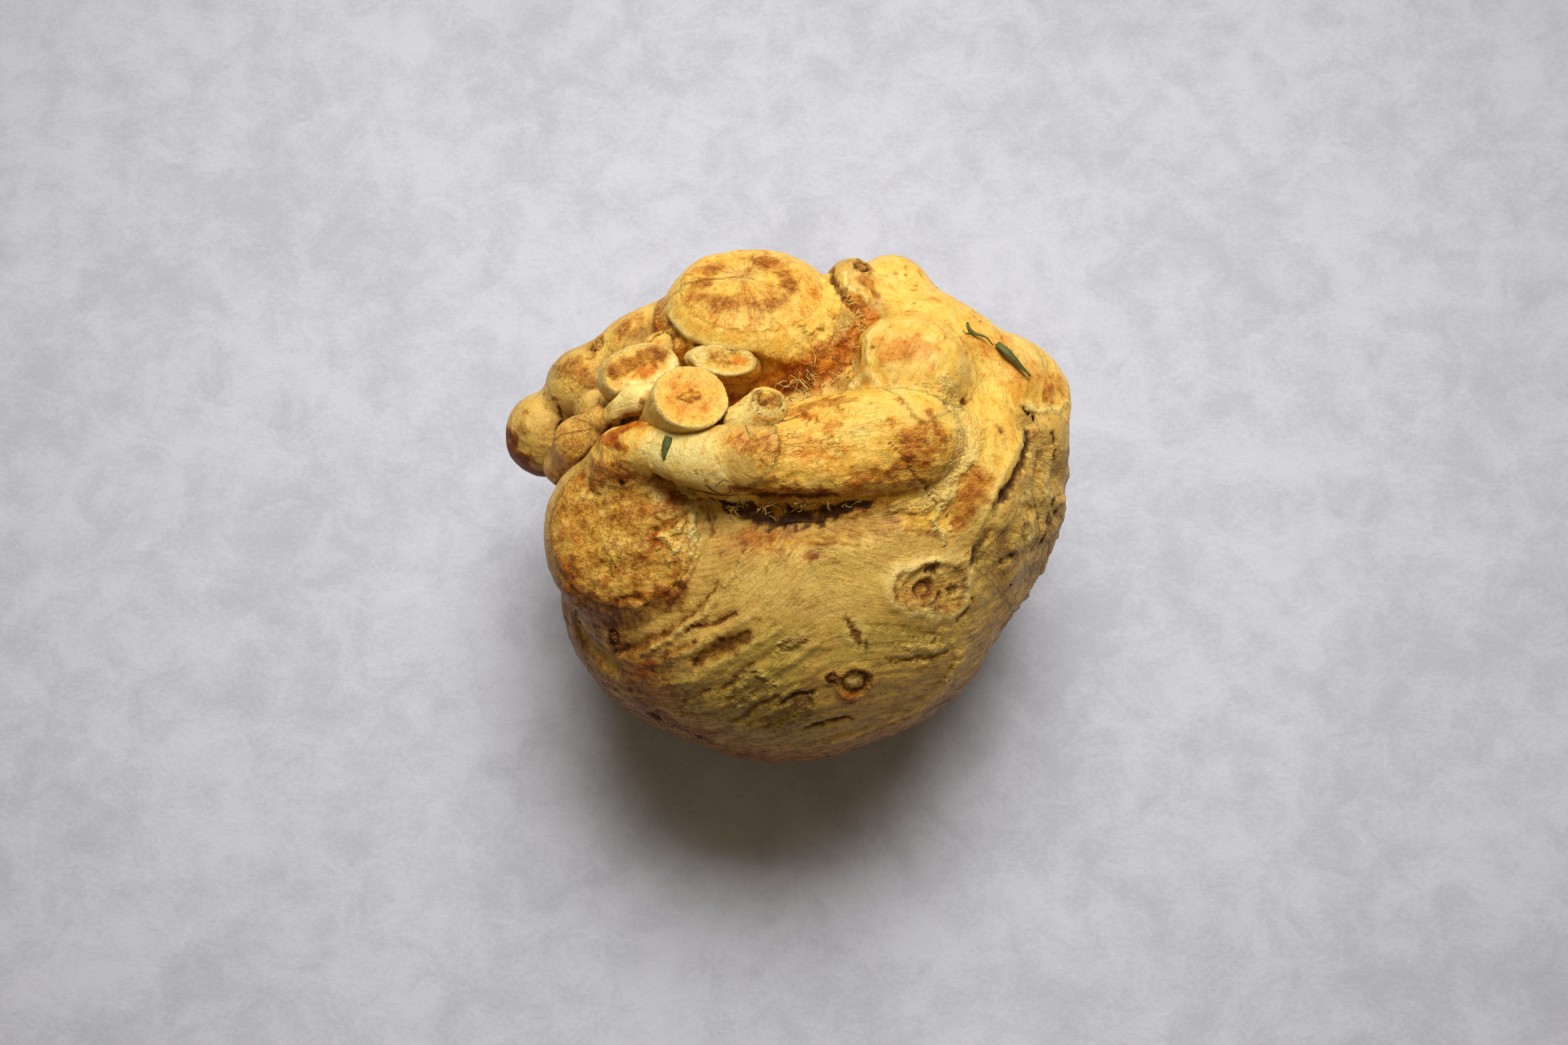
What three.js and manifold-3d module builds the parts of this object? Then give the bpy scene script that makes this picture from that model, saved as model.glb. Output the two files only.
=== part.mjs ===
// A celeriac root, as sold: a swollen round root, trimmed shoots round its crown, cut leaf stalks and
// buds standing in the crown's hollow, and three scraps of green leaf left by the knife.
// Millimetres, +Z up. The origin is the middle of the small flat spot that the root rests on.
import * as THREE from "three";
import { mergeVertices } from "three/addons/utils/BufferGeometryUtils.js";
import Module from "manifold-3d";

const wasm = await Module();
wasm.setup();

// Driving dimensions

const GAP = 0.3; // kept between a stalk, bud or scrap and what it grows from or lies on

// The swollen body: its radius in plan is a circle with swells, and its profile is a full oval that
// draws in towards the root end.
const BODY = {
  centre: [1, 1, 43],
  radius: 50.5,
  up: 41.5,
  down: 45.5,
  fullness: 2.25,
  drawIn: 0.1,
  detail: 9,
  swells: [
    { towards: 8, out: 9.5, spread: 24 },
    { towards: 60, out: 1, spread: 30 },
    { towards: 217, out: 3.5, spread: 24 },
    { towards: 268, out: 1, spread: 20 },
    { towards: 312, out: 1.5, spread: 14 },
  ],
};

// Where the head is pared away below the shoots: a point on each slope, and the way it faces.
const SLOPES = [
  { at: [-34, 12, 62], facing: [-0.68, 0.1, 0.73] },
  { at: [-8, 40, 64], facing: [-0.2, 0.6, 0.78] },
];

// Trimmed shoots: an oval with its centre, its half lengths, the way its cut face looks, the way its
// length runs and how far from the centre the knife went. Without a cut the shoot is whole.
const SHOOTS = [
  { at: [-23, -13, 50], half: [21, 20, 22.5], face: [-0.4, -0.2, 0.9], detail: 3 },
  {
    at: [-28, -6.5, 58.5], half: [20.5, 21.5, 25], face: [-0.31, -0.17, 0.93], along: [0.2, 1, 0.1],
    cut: 16.8, detail: 4,
  },
  { at: [-29.5, 5.5, 71.5], half: [10, 8, 10], face: [-0.1, 0.1, 1], detail: 2 },
  { at: [-6.5, 35.2, 66], half: [20, 17.8, 20], face: [0, 0.48, 0.88], cut: 15, detail: 4 },
  { at: [14.5, 42.5, 65], half: [6.5, 8, 12], face: [-0.1, 0.3, 0.9], cut: 9.5, detail: 2 },
  { at: [22, 42.5, 56], half: [10, 11, 16], face: [0.1, 0.4, 0.9], detail: 3 },
  { at: [35, 5, 61], half: [16, 22, 18], face: [0.35, 0, 0.94], detail: 3 },
  { at: [50, 13.5, 54], half: [10.5, 10, 14], detail: 2 },
  {
    at: [47.5, 24, 53], half: [13, 12.5, 16], face: [0.42, 0.1, 0.9], along: [0.6, -0.3, -0.5],
    cut: 13.5, detail: 3,
  },
  { at: [26, 24, 73], half: [13, 11, 16], face: [-0.1, -0.03, 1], along: [1, -0.5, 0], cut: 13, detail: 3 },
  {
    at: [10, 5, 78], half: [25.5, 12.5, 14], face: [-0.03, -0.12, 1], along: [1, 0.14, 0.02],
    cut: 11.8, detail: 4,
  },
  { at: [23.5, 8, 76], half: [11, 11.5, 13], face: [0.15, 0, 1], detail: 3 },
  { at: [-51, 19, 49], half: [8.5, 9.5, 9.5], face: [-0.5, 0.1, 0.8], along: [0.7, -0.5, 0.3], detail: 2 },
  { at: [-42, 27, 56], half: [9, 8.5, 9], detail: 2 },
  { at: [-39.5, 20.5, 63], half: [4.5, 5, 5], detail: 2 },
  { at: [-26, 32.5, 57], half: [17, 11.5, 13], face: [-0.3, 0.4, 0.8], along: [1, 0.45, 0.3], detail: 3 },
  { at: [-25, 29.5, 74], half: [4, 3.6, 4.5], detail: 1 },
];

// Side roots, cut off short round the lower half: ovals like the shoots, facing outwards.
const SIDE_ROOTS = [
  { towards: 24, height: 27, half: 6.5 },
  { towards: -12, height: 22, half: 7 },
  { towards: -42, height: 13, half: 6 },
  { towards: -78, height: 11, half: 6.5 },
  { towards: -112, height: 15, half: 5.5 },
  { towards: -142, height: 10, half: 7 },
  { towards: -170, height: 23, half: 6 },
  { towards: 152, height: 14, half: 7.5 },
  { towards: 120, height: 29, half: 6 },
  { towards: 94, height: 12, half: 7 },
  { towards: 58, height: 18, half: 7 },
];

// Rounded runs, each a list of [x, y, z, radius]. These swell out of the head: the front ridge's left
// end, the foot of the back shoot on its right, and the shoulder behind the inner shoot.
const SWELLINGS = [
  [[-33, 7.5, 77, 4], [-26, 6.5, 79, 5.2], [-18, 3.8, 80.6, 7], [-11, 3.8, 81.2, 8], [-3, 4, 81.3, 9]],
  [[0, 25.5, 69, 5], [7.5, 27.5, 71, 5.5], [10.8, 33, 70.5, 6], [10, 40, 68, 6]],
  [[21, 41, 62, 9.5], [29.5, 31, 65, 11.5], [42, 25.5, 60, 13]],
];

// These are hollowed out of it: the crown's hollow, the gap beside the back shoot, the gap between the round
// stalk and the front ridge, the crease under that ridge, the groove under its lower edge, the fold below the
// left shoot, the slit and the low pit in the front, and two hollows below the right shoulder.
const HOLLOWS = [
  [
    [-36, 21, 80, 3], [-27, 19.5, 80, 7], [-17, 18.5, 79, 8], [-7, 18.5, 80, 6.5], [2, 19.5, 79, 4],
    [9, 21, 79, 3],
  ],
  [[9, 21, 79, 3], [13, 25.5, 79, 2.4], [14, 33, 80, 1.8], [11, 43, 77, 1.2]],
  [[-15.5, 9.3, 88, 1.2], [-12, 10.8, 87, 2.2], [-9, 13, 87, 2.6], [-5.5, 17, 86.5, 2.6]],
  [
    [-21, -3, 80, 1.4], [-16, -7.5, 81, 2.4], [-8, -9.2, 82, 3], [4, -9.7, 83, 3], [14, -9, 83, 2.4],
    [23, -6.5, 83, 1],
  ],
  [
    [-17, -6.4, 79, 0.6], [-10, -7.4, 80, 1.4], [-2, -7.8, 80.6, 1.8], [6, -7.4, 81.2, 1.5],
    [13, -6.4, 82, 0.6],
  ],
  [[-44.5, -22, 47, 0.8], [-42.6, -26, 50.6, 1.7], [-39.6, -30, 54, 2], [-36, -33.6, 56.4, 2.7]],
  [[12.9, -28.1, 77.6, 0.6], [14, -30.6, 75.9, 1], [15.1, -32.7, 74.2, 0.6]],
  [[-26.4, -43.2, 49.6, 1.4], [-25, -43.8, 49.2, 1.2]],
  [[43.8, -2.7, 76.4, 1.3], [42.2, -5.4, 76.3, 1.2]],
  [[40.6, -10, 75, 0.9], [39.3, -12.6, 74, 1.5], [38, -14.9, 73, 1.1]],
];

// Root scars in the smooth front, each a groove round a middle left standing: where it is, the way the
// skin faces there, the groove's own radius, and the ring's radius and length. The last lies in the second.
const ROOT_SCARS = [
  { at: [14.1, -39.2, 68.8], face: [0.25, -0.72, 0.65], groove: 0.9, ring: 2.3, long: 1 },
  { at: [28.9, -21.1, 75.3], face: [0.47, -0.33, 0.82], groove: 1, ring: 4.2, long: 1.6 },
  { at: [27.8, -21.8, 75.6], face: [0.47, -0.33, 0.82], groove: 0.5, ring: 1.5, long: 1 },
];

const STALKS = {
  stalk_round: {
    run: [[-26, 12.2, 70, 5.8], [-16.2, 14.5, 95, 7.6]],
    cut: { at: [-18, 13.3, 89.5], facing: [0.1, 0.22, 0.97] },
  },
  bud_pointed: {
    run: [[-24.5, 18.4, 79.5, 1.8], [-30, 16.2, 80.2, 2.5], [-35.2, 13.8, 79, 1.8]],
    cut: { at: [-35.6, 13.7, 79.4], facing: [-0.75, -0.1, 0.65] },
  },
  stalk_left: {
    oval: {
      at: [-29.4, 23.4, 75], half: [8.8, 6.1, 9], face: [0.05, -0.1, 1], along: [1, 0.3, 0],
      cut: 4.4, detail: 2,
    },
  },
  stalk_back: {
    oval: {
      at: [-12.4, 25, 77], half: [8.2, 3.9, 8], face: [0, -0.12, 1], along: [1, -0.12, 0],
      cut: 4.4, detail: 2,
    },
  },
  bud_small: {
    run: [[-8.5, 9.7, 86.2, 3.8], [-3.8, 11.9, 87, 4.7]],
    cut: { at: [-3.2, 12.6, 91], facing: [0.2, 0.25, 0.95] },
  },
  leaf_base: {
    run: [[-37, 14, 71, 4], [-42, 11.5, 66, 5], [-46, 9, 58, 4.5]],
    cut: { at: [-38, 12.5, 76], facing: [-0.3, 0.1, 1] },
  },
};

const SCRAPS = {
  leaf_thread: [
    [37.6, 34.6, 73.8, 0.5], [39.1, 32, 74.2, 0.6], [41.4, 31.5, 73.7, 0.6], [42.9, 30.1, 73.1, 0.5],
  ],
  leaf_long: [[43.9, 30.8, 72.9, 0.9], [47, 27.9, 72.2, 1.3], [50.9, 24.5, 70.1, 0.9]],
  leaf_short: [[-22.8, 5.8, 86.3, 0.7], [-23.5, 2.2, 85.5, 0.8]],
};

const FLESH = { color: 0xd8b26a, roughness: 0.62, metalness: 0 };
const STALK = { color: 0xe6cf8e, roughness: 0.5, metalness: 0 };
const LEAF = { color: 0x4f6b2f, roughness: 0.6, metalness: 0 };

const UP = [0, 0, 1];
const SUNK = 0.35; // how deep a side root's middle lies below the skin, in its own radii
const SIDE_ROOT_CUT = 0.7; // how far out it was cut, in its own radii
const FAR = 200; // side of the blocks that cut, larger than the whole root
const ROUND_SIDES = 10; // sides of a rounded run
const ROUND_STEPS = 3; // steps over each of its rounded ends
const SCAR_SIDES = 6;
const SCAR_STEPS = 20; // steps round a root scar's ring
const SCRAP_SIDES = 6;
const SCRAP_STEPS = 2;

// From a three.js geometry to a solid, and back

function solidOf(geometry) {
  const bare = new THREE.BufferGeometry();
  bare.setAttribute("position", geometry.getAttribute("position"));
  bare.setIndex(geometry.index);
  const merged = mergeVertices(bare, 1e-4);
  const mesh = new wasm.Mesh({
    numProp: 3,
    vertProperties: merged.getAttribute("position").array,
    triVerts: new Uint32Array(merged.index.array),
  });
  return new wasm.Manifold(mesh);
}

function geometryOf(solid) {
  const mesh = solid.getMesh();
  const geometry = new THREE.BufferGeometry();
  geometry.setAttribute("position", new THREE.BufferAttribute(mesh.vertProperties, 3));
  geometry.setIndex(new THREE.BufferAttribute(mesh.triVerts, 1));
  geometry.computeVertexNormals();
  return geometry;
}

// A turn that takes +Z to face and +X as near as it can to along.
function turned(face, along) {
  const z = new THREE.Vector3(...face).normalize();
  const x = new THREE.Vector3(...along);
  x.addScaledVector(z, -x.dot(z)).normalize();
  const y = new THREE.Vector3().crossVectors(z, x);
  return new THREE.Matrix4().makeBasis(x, y, z);
}

// Everything on the far side of a plane, as a block that reaches well past the root.
function beyond(at, facing) {
  const z = new THREE.Vector3(...facing).normalize();
  const sideways = Math.abs(z.x) < 0.9 ? [1, 0, 0] : [0, 1, 0];
  const block = new THREE.BoxGeometry(FAR, FAR, FAR).translate(0, 0, FAR / 2);
  block.applyMatrix4(turned(facing, sideways)).translate(...at);
  return solidOf(block);
}

// An oval shoot, cut flat where it has a cut, and larger all round by grow.
function oval({ at, half, face = UP, along = [1, 0, 0], cut, detail }, grow = 0) {
  const ball = new THREE.IcosahedronGeometry(1, detail);
  ball.scale(half[0] + grow, half[1] + grow, half[2] + grow);
  const whole = solidOf(ball.applyMatrix4(turned(face, along)).translate(...at));
  if (cut === undefined) return whole;
  const centre = new THREE.Vector3(...face).setLength(cut + grow).add(new THREE.Vector3(...at));
  return whole.subtract(beyond(centre.toArray(), face));
}

// One stretch of a rounded run: round at both ends, with its own radius at each.
function stretch(from, to, grow, sides, steps) {
  const start = new THREE.Vector3(...from.slice(0, 3));
  const way = new THREE.Vector3(...to.slice(0, 3)).sub(start);
  const length = way.length();
  const profile = [];
  for (const [radius, height, first] of [[from[3] + grow, 0, -90], [to[3] + grow, length, 0]]) {
    for (let step = 0; step <= steps; step++) {
      const angle = THREE.MathUtils.degToRad(first + (90 * step) / steps);
      const out = Math.max(0, radius * Math.cos(angle));
      profile.push(new THREE.Vector2(out, height + radius * Math.sin(angle)));
    }
  }
  profile[0].x = 0;
  profile.at(-1).x = 0;
  const up = new THREE.Vector3(0, 1, 0);
  const turn = new THREE.Quaternion().setFromUnitVectors(up, way.normalize());
  const lathe = new THREE.LatheGeometry(profile, sides);
  return solidOf(lathe.applyQuaternion(turn).translate(...start.toArray()));
}

function run(points, grow = 0, sides = ROUND_SIDES, steps = ROUND_STEPS) {
  const stretches = points.slice(1).map((to, i) => stretch(points[i], to, grow, sides, steps));
  return stretches.reduce((whole, next) => whole.add(next));
}

// The sub-parts

// The body's radius in plan, without its draw-in, looking out along an azimuth in degrees.
function radiusTowards(azimuth) {
  return BODY.swells.reduce((radius, { towards, out, spread }) => {
    const off = THREE.MathUtils.euclideanModulo(azimuth - towards + 180, 360) - 180;
    return radius + out * Math.exp(-((off / spread) ** 2));
  }, BODY.radius);
}

function swollenBody() {
  const ball = new THREE.IcosahedronGeometry(1, BODY.detail);
  const position = ball.getAttribute("position");
  const { up, down, fullness, drawIn } = BODY;
  for (let i = 0; i < position.count; i++) {
    const way = new THREE.Vector3().fromBufferAttribute(position, i).normalize();
    const radius = radiusTowards(THREE.MathUtils.radToDeg(Math.atan2(way.y, way.x)));
    const height = way.z > 0 ? up : down;
    const flat = (Math.hypot(way.x, way.y) / radius) ** fullness;
    const tall = (Math.abs(way.z) / height) ** fullness;
    way.multiplyScalar((flat + tall) ** (-1 / fullness));
    const depth = Math.max(0, -way.z / down);
    const narrow = 1 - drawIn * depth * depth;
    position.setXYZ(i, way.x * narrow, way.y * narrow, way.z);
  }
  return solidOf(ball.translate(...BODY.centre));
}

// A side root's stump stands on the body's skin, facing out from the body's centre.
function sideRoot({ towards, height, half }) {
  const azimuth = THREE.MathUtils.degToRad(towards);
  const level = height - BODY.centre[2];
  const reach = Math.abs(level) / (level > 0 ? BODY.up : BODY.down);
  const whole = radiusTowards(towards) * (1 - reach ** BODY.fullness) ** (1 / BODY.fullness);
  const out = whole * (1 - BODY.drawIn * reach * reach) - half * SUNK;
  const facing = [out * Math.cos(azimuth), out * Math.sin(azimuth), level];
  const at = facing.map((offset, axis) => offset + BODY.centre[axis]);
  const along = [-Math.sin(azimuth), Math.cos(azimuth), 0];
  return oval({ at, half: [half, half, half], face: facing, along, cut: half * SIDE_ROOT_CUT, detail: 1 });
}

// A root scar's groove: a ring that is longer across the slope than down it.
function scarGroove({ at, face, groove, ring, long }) {
  const torus = new THREE.TorusGeometry(ring, groove, SCAR_SIDES, SCAR_STEPS);
  torus.scale(long, 1, 1);
  return solidOf(torus.applyMatrix4(turned(face, [1, 0, 0])).translate(...at));
}

function stalk({ run: points, oval: form, cut }, grow = 0) {
  const whole = form ? oval(form, grow) : run(points, grow);
  if (!cut) return whole;
  const facing = new THREE.Vector3(...cut.facing).setLength(grow);
  const at = new THREE.Vector3(...cut.at).add(facing);
  return whole.subtract(beyond(at.toArray(), cut.facing));
}

const scrap = (points, grow = 0) => run(points, grow, SCRAP_SIDES, SCRAP_STEPS);

// Stalks stand side by side in the crown, so each leaves room for those before it.
function standingStalks() {
  const made = new Map();
  const room = [];
  for (const [name, form] of Object.entries(STALKS)) {
    made.set(name, room.reduce((left, taken) => left.subtract(taken), stalk(form)));
    room.push(stalk(form, GAP));
  }
  return { made, room };
}

function swollenRoot(room) {
  let root = swollenBody();
  for (const { at, facing } of SLOPES) root = root.subtract(beyond(at, facing));
  for (const form of SHOOTS) root = root.add(oval(form));
  for (const form of SIDE_ROOTS) root = root.add(sideRoot(form));
  for (const points of SWELLINGS) root = root.add(run(points));
  for (const points of HOLLOWS) root = root.subtract(run(points));
  for (const scar of ROOT_SCARS) root = root.subtract(scarGroove(scar));
  for (const taken of room) root = root.subtract(taken);
  return root.subtract(beyond([0, 0, 0], [0, 0, -1]));
}

const celeriac = new THREE.Group();

function place(name, solid, finish) {
  const mesh = new THREE.Mesh(geometryOf(solid), new THREE.MeshStandardMaterial(finish));
  mesh.name = name;
  celeriac.add(mesh);
}

const stalks = standingStalks();
const scrapRoom = Object.values(SCRAPS).map((points) => scrap(points, GAP));

place("root", swollenRoot([...stalks.room, ...scrapRoom]), FLESH);
for (const [name, solid] of stalks.made) place(name, solid, STALK);
for (const [name, points] of Object.entries(SCRAPS)) place(name, scrap(points), LEAF);

export default celeriac;
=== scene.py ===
"""A celeriac root: a swollen root with trimmed shoots, cut leaf stalks, buds, fibres and leaf scraps.

The forms are given in millimetres, as distance fields; a field is turned into an even mesh, its
surface is worked over with wrinkles, scars and stains, and the result is placed in metres.
"""

import math
from dataclasses import dataclass

import bpy
import numpy as np
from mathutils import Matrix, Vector


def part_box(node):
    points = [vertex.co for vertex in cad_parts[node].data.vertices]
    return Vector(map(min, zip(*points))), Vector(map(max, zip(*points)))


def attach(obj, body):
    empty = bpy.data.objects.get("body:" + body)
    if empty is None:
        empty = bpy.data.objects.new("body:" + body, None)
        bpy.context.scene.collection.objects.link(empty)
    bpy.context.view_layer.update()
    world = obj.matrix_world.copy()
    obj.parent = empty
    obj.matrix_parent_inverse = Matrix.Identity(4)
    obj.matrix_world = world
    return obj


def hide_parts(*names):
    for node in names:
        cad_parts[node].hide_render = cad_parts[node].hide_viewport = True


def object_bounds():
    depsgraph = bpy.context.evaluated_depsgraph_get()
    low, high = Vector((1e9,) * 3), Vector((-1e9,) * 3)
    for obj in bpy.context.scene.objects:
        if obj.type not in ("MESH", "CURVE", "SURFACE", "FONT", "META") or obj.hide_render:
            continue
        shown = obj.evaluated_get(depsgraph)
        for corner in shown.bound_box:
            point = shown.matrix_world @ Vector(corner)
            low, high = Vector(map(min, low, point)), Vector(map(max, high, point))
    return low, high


bl_info = {
    "name": "Celeriac Root",
    "version": (1, 0, 0),
    "blender": (4, 5, 0),
    "location": "View3D > Sidebar > Celeriac",
    "description": "Grows a trimmed celeriac root round its packed frame",
    "category": "Add Mesh",
}

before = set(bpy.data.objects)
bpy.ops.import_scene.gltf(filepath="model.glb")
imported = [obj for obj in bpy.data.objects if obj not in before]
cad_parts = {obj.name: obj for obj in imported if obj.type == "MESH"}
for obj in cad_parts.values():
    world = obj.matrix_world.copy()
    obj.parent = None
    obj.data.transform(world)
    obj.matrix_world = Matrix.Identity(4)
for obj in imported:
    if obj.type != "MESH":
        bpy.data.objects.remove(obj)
CAD_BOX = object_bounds()
MM = 0.001


# Distance fields


def unit(vector):
    vector = np.asarray(vector, float)
    return vector / np.linalg.norm(vector)


def turned(face, along):
    """Rows are a form's own x, y and z axes, with z along face and x as near along as it can be."""
    z = unit(face)
    x = unit(np.asarray(along, float) - z * np.dot(along, z))
    return np.stack([x, np.cross(z, x), z])


def soft_min(a, b, reach):
    """Joins two fields with a fillet that starts where they are within reach of each other."""
    near = np.maximum(reach - np.abs(a - b), 0) / reach
    return np.minimum(a, b) - near * near * reach * 0.25


def soft_max(a, b, reach):
    return -soft_min(-a, -b, reach)


@dataclass
class Slope:
    """Half of space, which pares a form down to a plane."""

    at: tuple
    facing: tuple
    blend: float

    def distance(self, points):
        return (points - np.array(self.at)) @ unit(self.facing)


@dataclass
class Shoot:
    """An oval, which may be cut across near its face end with a rounded edge and a domed cut."""

    name: str
    at: tuple
    half: tuple
    face: tuple = (0, 0, 1)
    along: tuple = (1, 0, 0)
    cut: float = None
    edge: float = 4
    dome: float = 3
    blend: float = 3

    def own(self, points):
        """Points seen in the oval's own axes."""
        return (points - np.array(self.at)) @ turned(self.face, self.along).T

    def parts(self, points):
        """The whole oval's distance, and the distance past its cut."""
        own = self.own(points)
        half = np.array(self.half)
        scaled = np.linalg.norm(own / half, axis=1)
        steep = np.linalg.norm(own / half**2, axis=1) + 1e-9
        whole = scaled * (scaled - 1) / steep
        if self.cut is None:
            return whole, np.full_like(whole, -99.0)
        spread = (own[:, 0] / half[0]) ** 2 + (own[:, 1] / half[1]) ** 2
        return whole, own[:, 2] - self.cut + self.dome * spread

    def distance(self, points):
        whole, past = self.parts(points)
        return soft_max(whole, past, self.edge)


@dataclass
class Run:
    """A rounded run through stops of x, y, z and radius."""

    name: str
    stops: tuple
    inner: float = 3
    blend: float = 3

    def distance(self, points):
        near = None
        for (*start, r0), (*end, r1) in zip(self.stops[:-1], self.stops[1:]):
            start = np.array(start, float)
            way = np.array(end, float) - start
            share = np.clip((points - start) @ way / np.dot(way, way), 0, 1)
            off = np.linalg.norm(points - start - share[:, None] * way, axis=1)
            stretch = off - (r0 + (r1 - r0) * share)
            near = stretch if near is None else soft_min(near, stretch, self.inner)
        return near


# The root's forms, in millimetres

BODY_CENTRE = (1, 1, 43)
BODY_RADIUS = 50.5
BODY_UP = 41.5
BODY_DOWN = 45.5
BODY_FULLNESS = 2.25
BODY_DRAW_IN = 0.1
# Each swell: the way it lies round the body, how far it stands out, and its spread, in degrees.
BODY_SWELLS = ((8, 9.5, 24), (60, 1, 30), (217, 3.5, 24), (268, 1, 20), (312, 1.5, 14))

SLOPES = (
    Slope((-34, 12, 62), (-0.68, 0.1, 0.73), 16),
    Slope((-8, 40, 64), (-0.2, 0.6, 0.78), 14),
)

LEFT = Shoot("left", (-28, -6.5, 58.5), (20.5, 21.5, 25), (-0.31, -0.17, 0.93), (0.2, 1, 0.1),
             17.5, 4.5, 3, 1.2)
LEFT_TOP = Shoot("left top", (-29.5, 5.5, 71.5), (10, 8, 10), (-0.1, 0.1, 1), blend=3)
BACK = Shoot("back", (-6.5, 35.2, 66), (20, 17.8, 20), (0, 0.48, 0.88), (1, 0, 0), 15.5, 2, 4, 1.5)
RIDGE = Shoot("ridge", (10, 5, 78), (25.5, 12.5, 14), (-0.03, -0.12, 1), (1, 0.14, 0.02), 12.5, 3, 3.5, 1.5)
INNER = Shoot("inner", (26, 24, 73), (13, 11, 16), (-0.1, -0.03, 1), (1, -0.5, 0), 13.5, 3, 3, 3.5)
RIGHT_END = Shoot("right end", (47.5, 24, 53), (13, 12.5, 16), (0.42, 0.1, 0.9), (0.6, -0.3, -0.5),
                  14, 3, 3, 4)

GROWN = (
    Shoot("left foot", (-23, -13, 50), (21, 20, 22.5), (-0.4, -0.2, 0.9), blend=4),
    LEFT,
    LEFT_TOP,
    BACK,
    Run("back skirt", ((0, 25.5, 69, 5), (7.5, 27.5, 71, 5.5), (10.8, 33, 70.5, 6), (10, 40, 68, 6)), 3, 2.5),
    Shoot("back small", (14.5, 42.5, 65), (6.5, 8, 12), (-0.1, 0.3, 0.9), cut=9.5, edge=2, dome=1, blend=1.2),
    Shoot("back right", (22, 42.5, 56), (10, 11, 16), (0.1, 0.4, 0.9), blend=2),
    Run("shoulder", ((21, 41, 62, 9.5), (29.5, 31, 65, 11.5), (42, 25.5, 60, 13)), 8, 4),
    Shoot("right shoulder", (35, 5, 61), (16, 22, 18), (0.35, 0, 0.94), blend=6),
    Shoot("right flank", (50, 13.5, 54), (10.5, 10, 14), blend=3),
    RIGHT_END,
    INNER,
    Run("ridge end", ((-33, 7.5, 77, 4), (-26, 6.5, 79, 5.2), (-18, 3.8, 80.6, 7), (-11, 3.8, 81.2, 8),
                      (-3, 4, 81.3, 9)), 5, 1),
    RIDGE,
    Shoot("ridge right", (23.5, 8, 76), (11, 11.5, 13), (0.15, 0, 1), blend=4),
    Shoot("far left", (-51, 19, 49), (8.5, 9.5, 9.5), (-0.5, 0.1, 0.8), (0.7, -0.5, 0.3), blend=1.2),
    Shoot("far left upper", (-42, 27, 56), (9, 8.5, 9), blend=3),
    Shoot("far left knob", (-39.5, 20.5, 63), (4.5, 5, 5), blend=1),
    Shoot("back left", (-26, 32.5, 57), (17, 11.5, 13), (-0.3, 0.4, 0.8), (1, 0.45, 0.3), blend=4),
    Shoot("back knob", (-25, 29.5, 74), (4, 3.6, 4.5), blend=1),
)

# Stumps of side roots: the way each lies round the body, its height and its radius.
SIDE_ROOTS = (
    (24, 27, 6.5), (-12, 22, 7), (-42, 13, 6), (-78, 11, 6.5), (-112, 15, 5.5), (-142, 10, 7),
    (-170, 23, 6), (152, 14, 7.5), (120, 29, 6), (94, 12, 7), (58, 18, 7),
)

HOLLOWED = (
    Run("crown", ((-36, 21, 80, 3), (-27, 19.5, 80, 7), (-17, 18.5, 79, 8), (-7, 18.5, 80, 6.5),
                  (2, 19.5, 79, 4), (9, 21, 79, 3), (13, 25.5, 79, 2.4), (14, 33, 80, 1.8),
                  (11, 43, 77, 1.2)), 3, 1.5),
    Run("crease", ((-26, 4, 80, 0.8), (-21, -3, 80, 1.4), (-16, -7.5, 81, 2.4), (-8, -9.2, 82, 3),
                   (4, -9.7, 83, 3), (14, -9, 83, 2.4), (23, -6.5, 83, 1)), 2, 5),
    Run("stalk gap", ((-15.5, 9.3, 88, 1.2), (-12, 10.8, 87, 2.2), (-9, 13, 87, 2.6), (-5.5, 17, 86.5, 2.6)),
        2, 1),
    Run("undercut", ((-17, -6.4, 79, 0.6), (-10, -7.4, 80, 1.4), (-2, -7.8, 80.6, 1.8), (6, -7.4, 81.2, 1.5),
                     (13, -6.4, 82, 0.6)), 1, 0.8),
    Run("left fold", ((-44.5, -22, 47, 0.8), (-42.6, -26, 50.6, 1.7), (-39.6, -30, 54, 2),
                      (-36, -33.6, 56.4, 2.7)), 1, 1),
    Run("right rim", ((49, 18, 69, 0.3), (51, 16.4, 66.8, 0.5), (53, 16.4, 64.4, 0.4), (55, 17, 62.4, 0.2)),
        1, 1),
)


def radius_towards(azimuth):
    """The body's radius in plan, the given way round it."""
    radius = np.full_like(azimuth, BODY_RADIUS, dtype=float)
    for towards, out, spread in BODY_SWELLS:
        off = (azimuth - towards + 180) % 360 - 180
        radius = radius + out * np.exp(-((off / spread) ** 2))
    return radius


def body_distance(points):
    x, y, z = (points - np.array(BODY_CENTRE)).T
    radius = radius_towards(np.degrees(np.arctan2(y, x)))
    height = np.where(z > 0, BODY_UP, BODY_DOWN)
    radius *= 1 - BODY_DRAW_IN * np.clip(-z / BODY_DOWN, 0, 1) ** 2
    flat = np.hypot(x, y)
    full = BODY_FULLNESS
    scaled = ((flat / radius) ** full + (np.abs(z) / height) ** full) ** (1 / full)
    steep = np.hypot(flat / radius**2, z / height**2) + 1e-6
    return scaled * (scaled - 1) / steep


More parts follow.
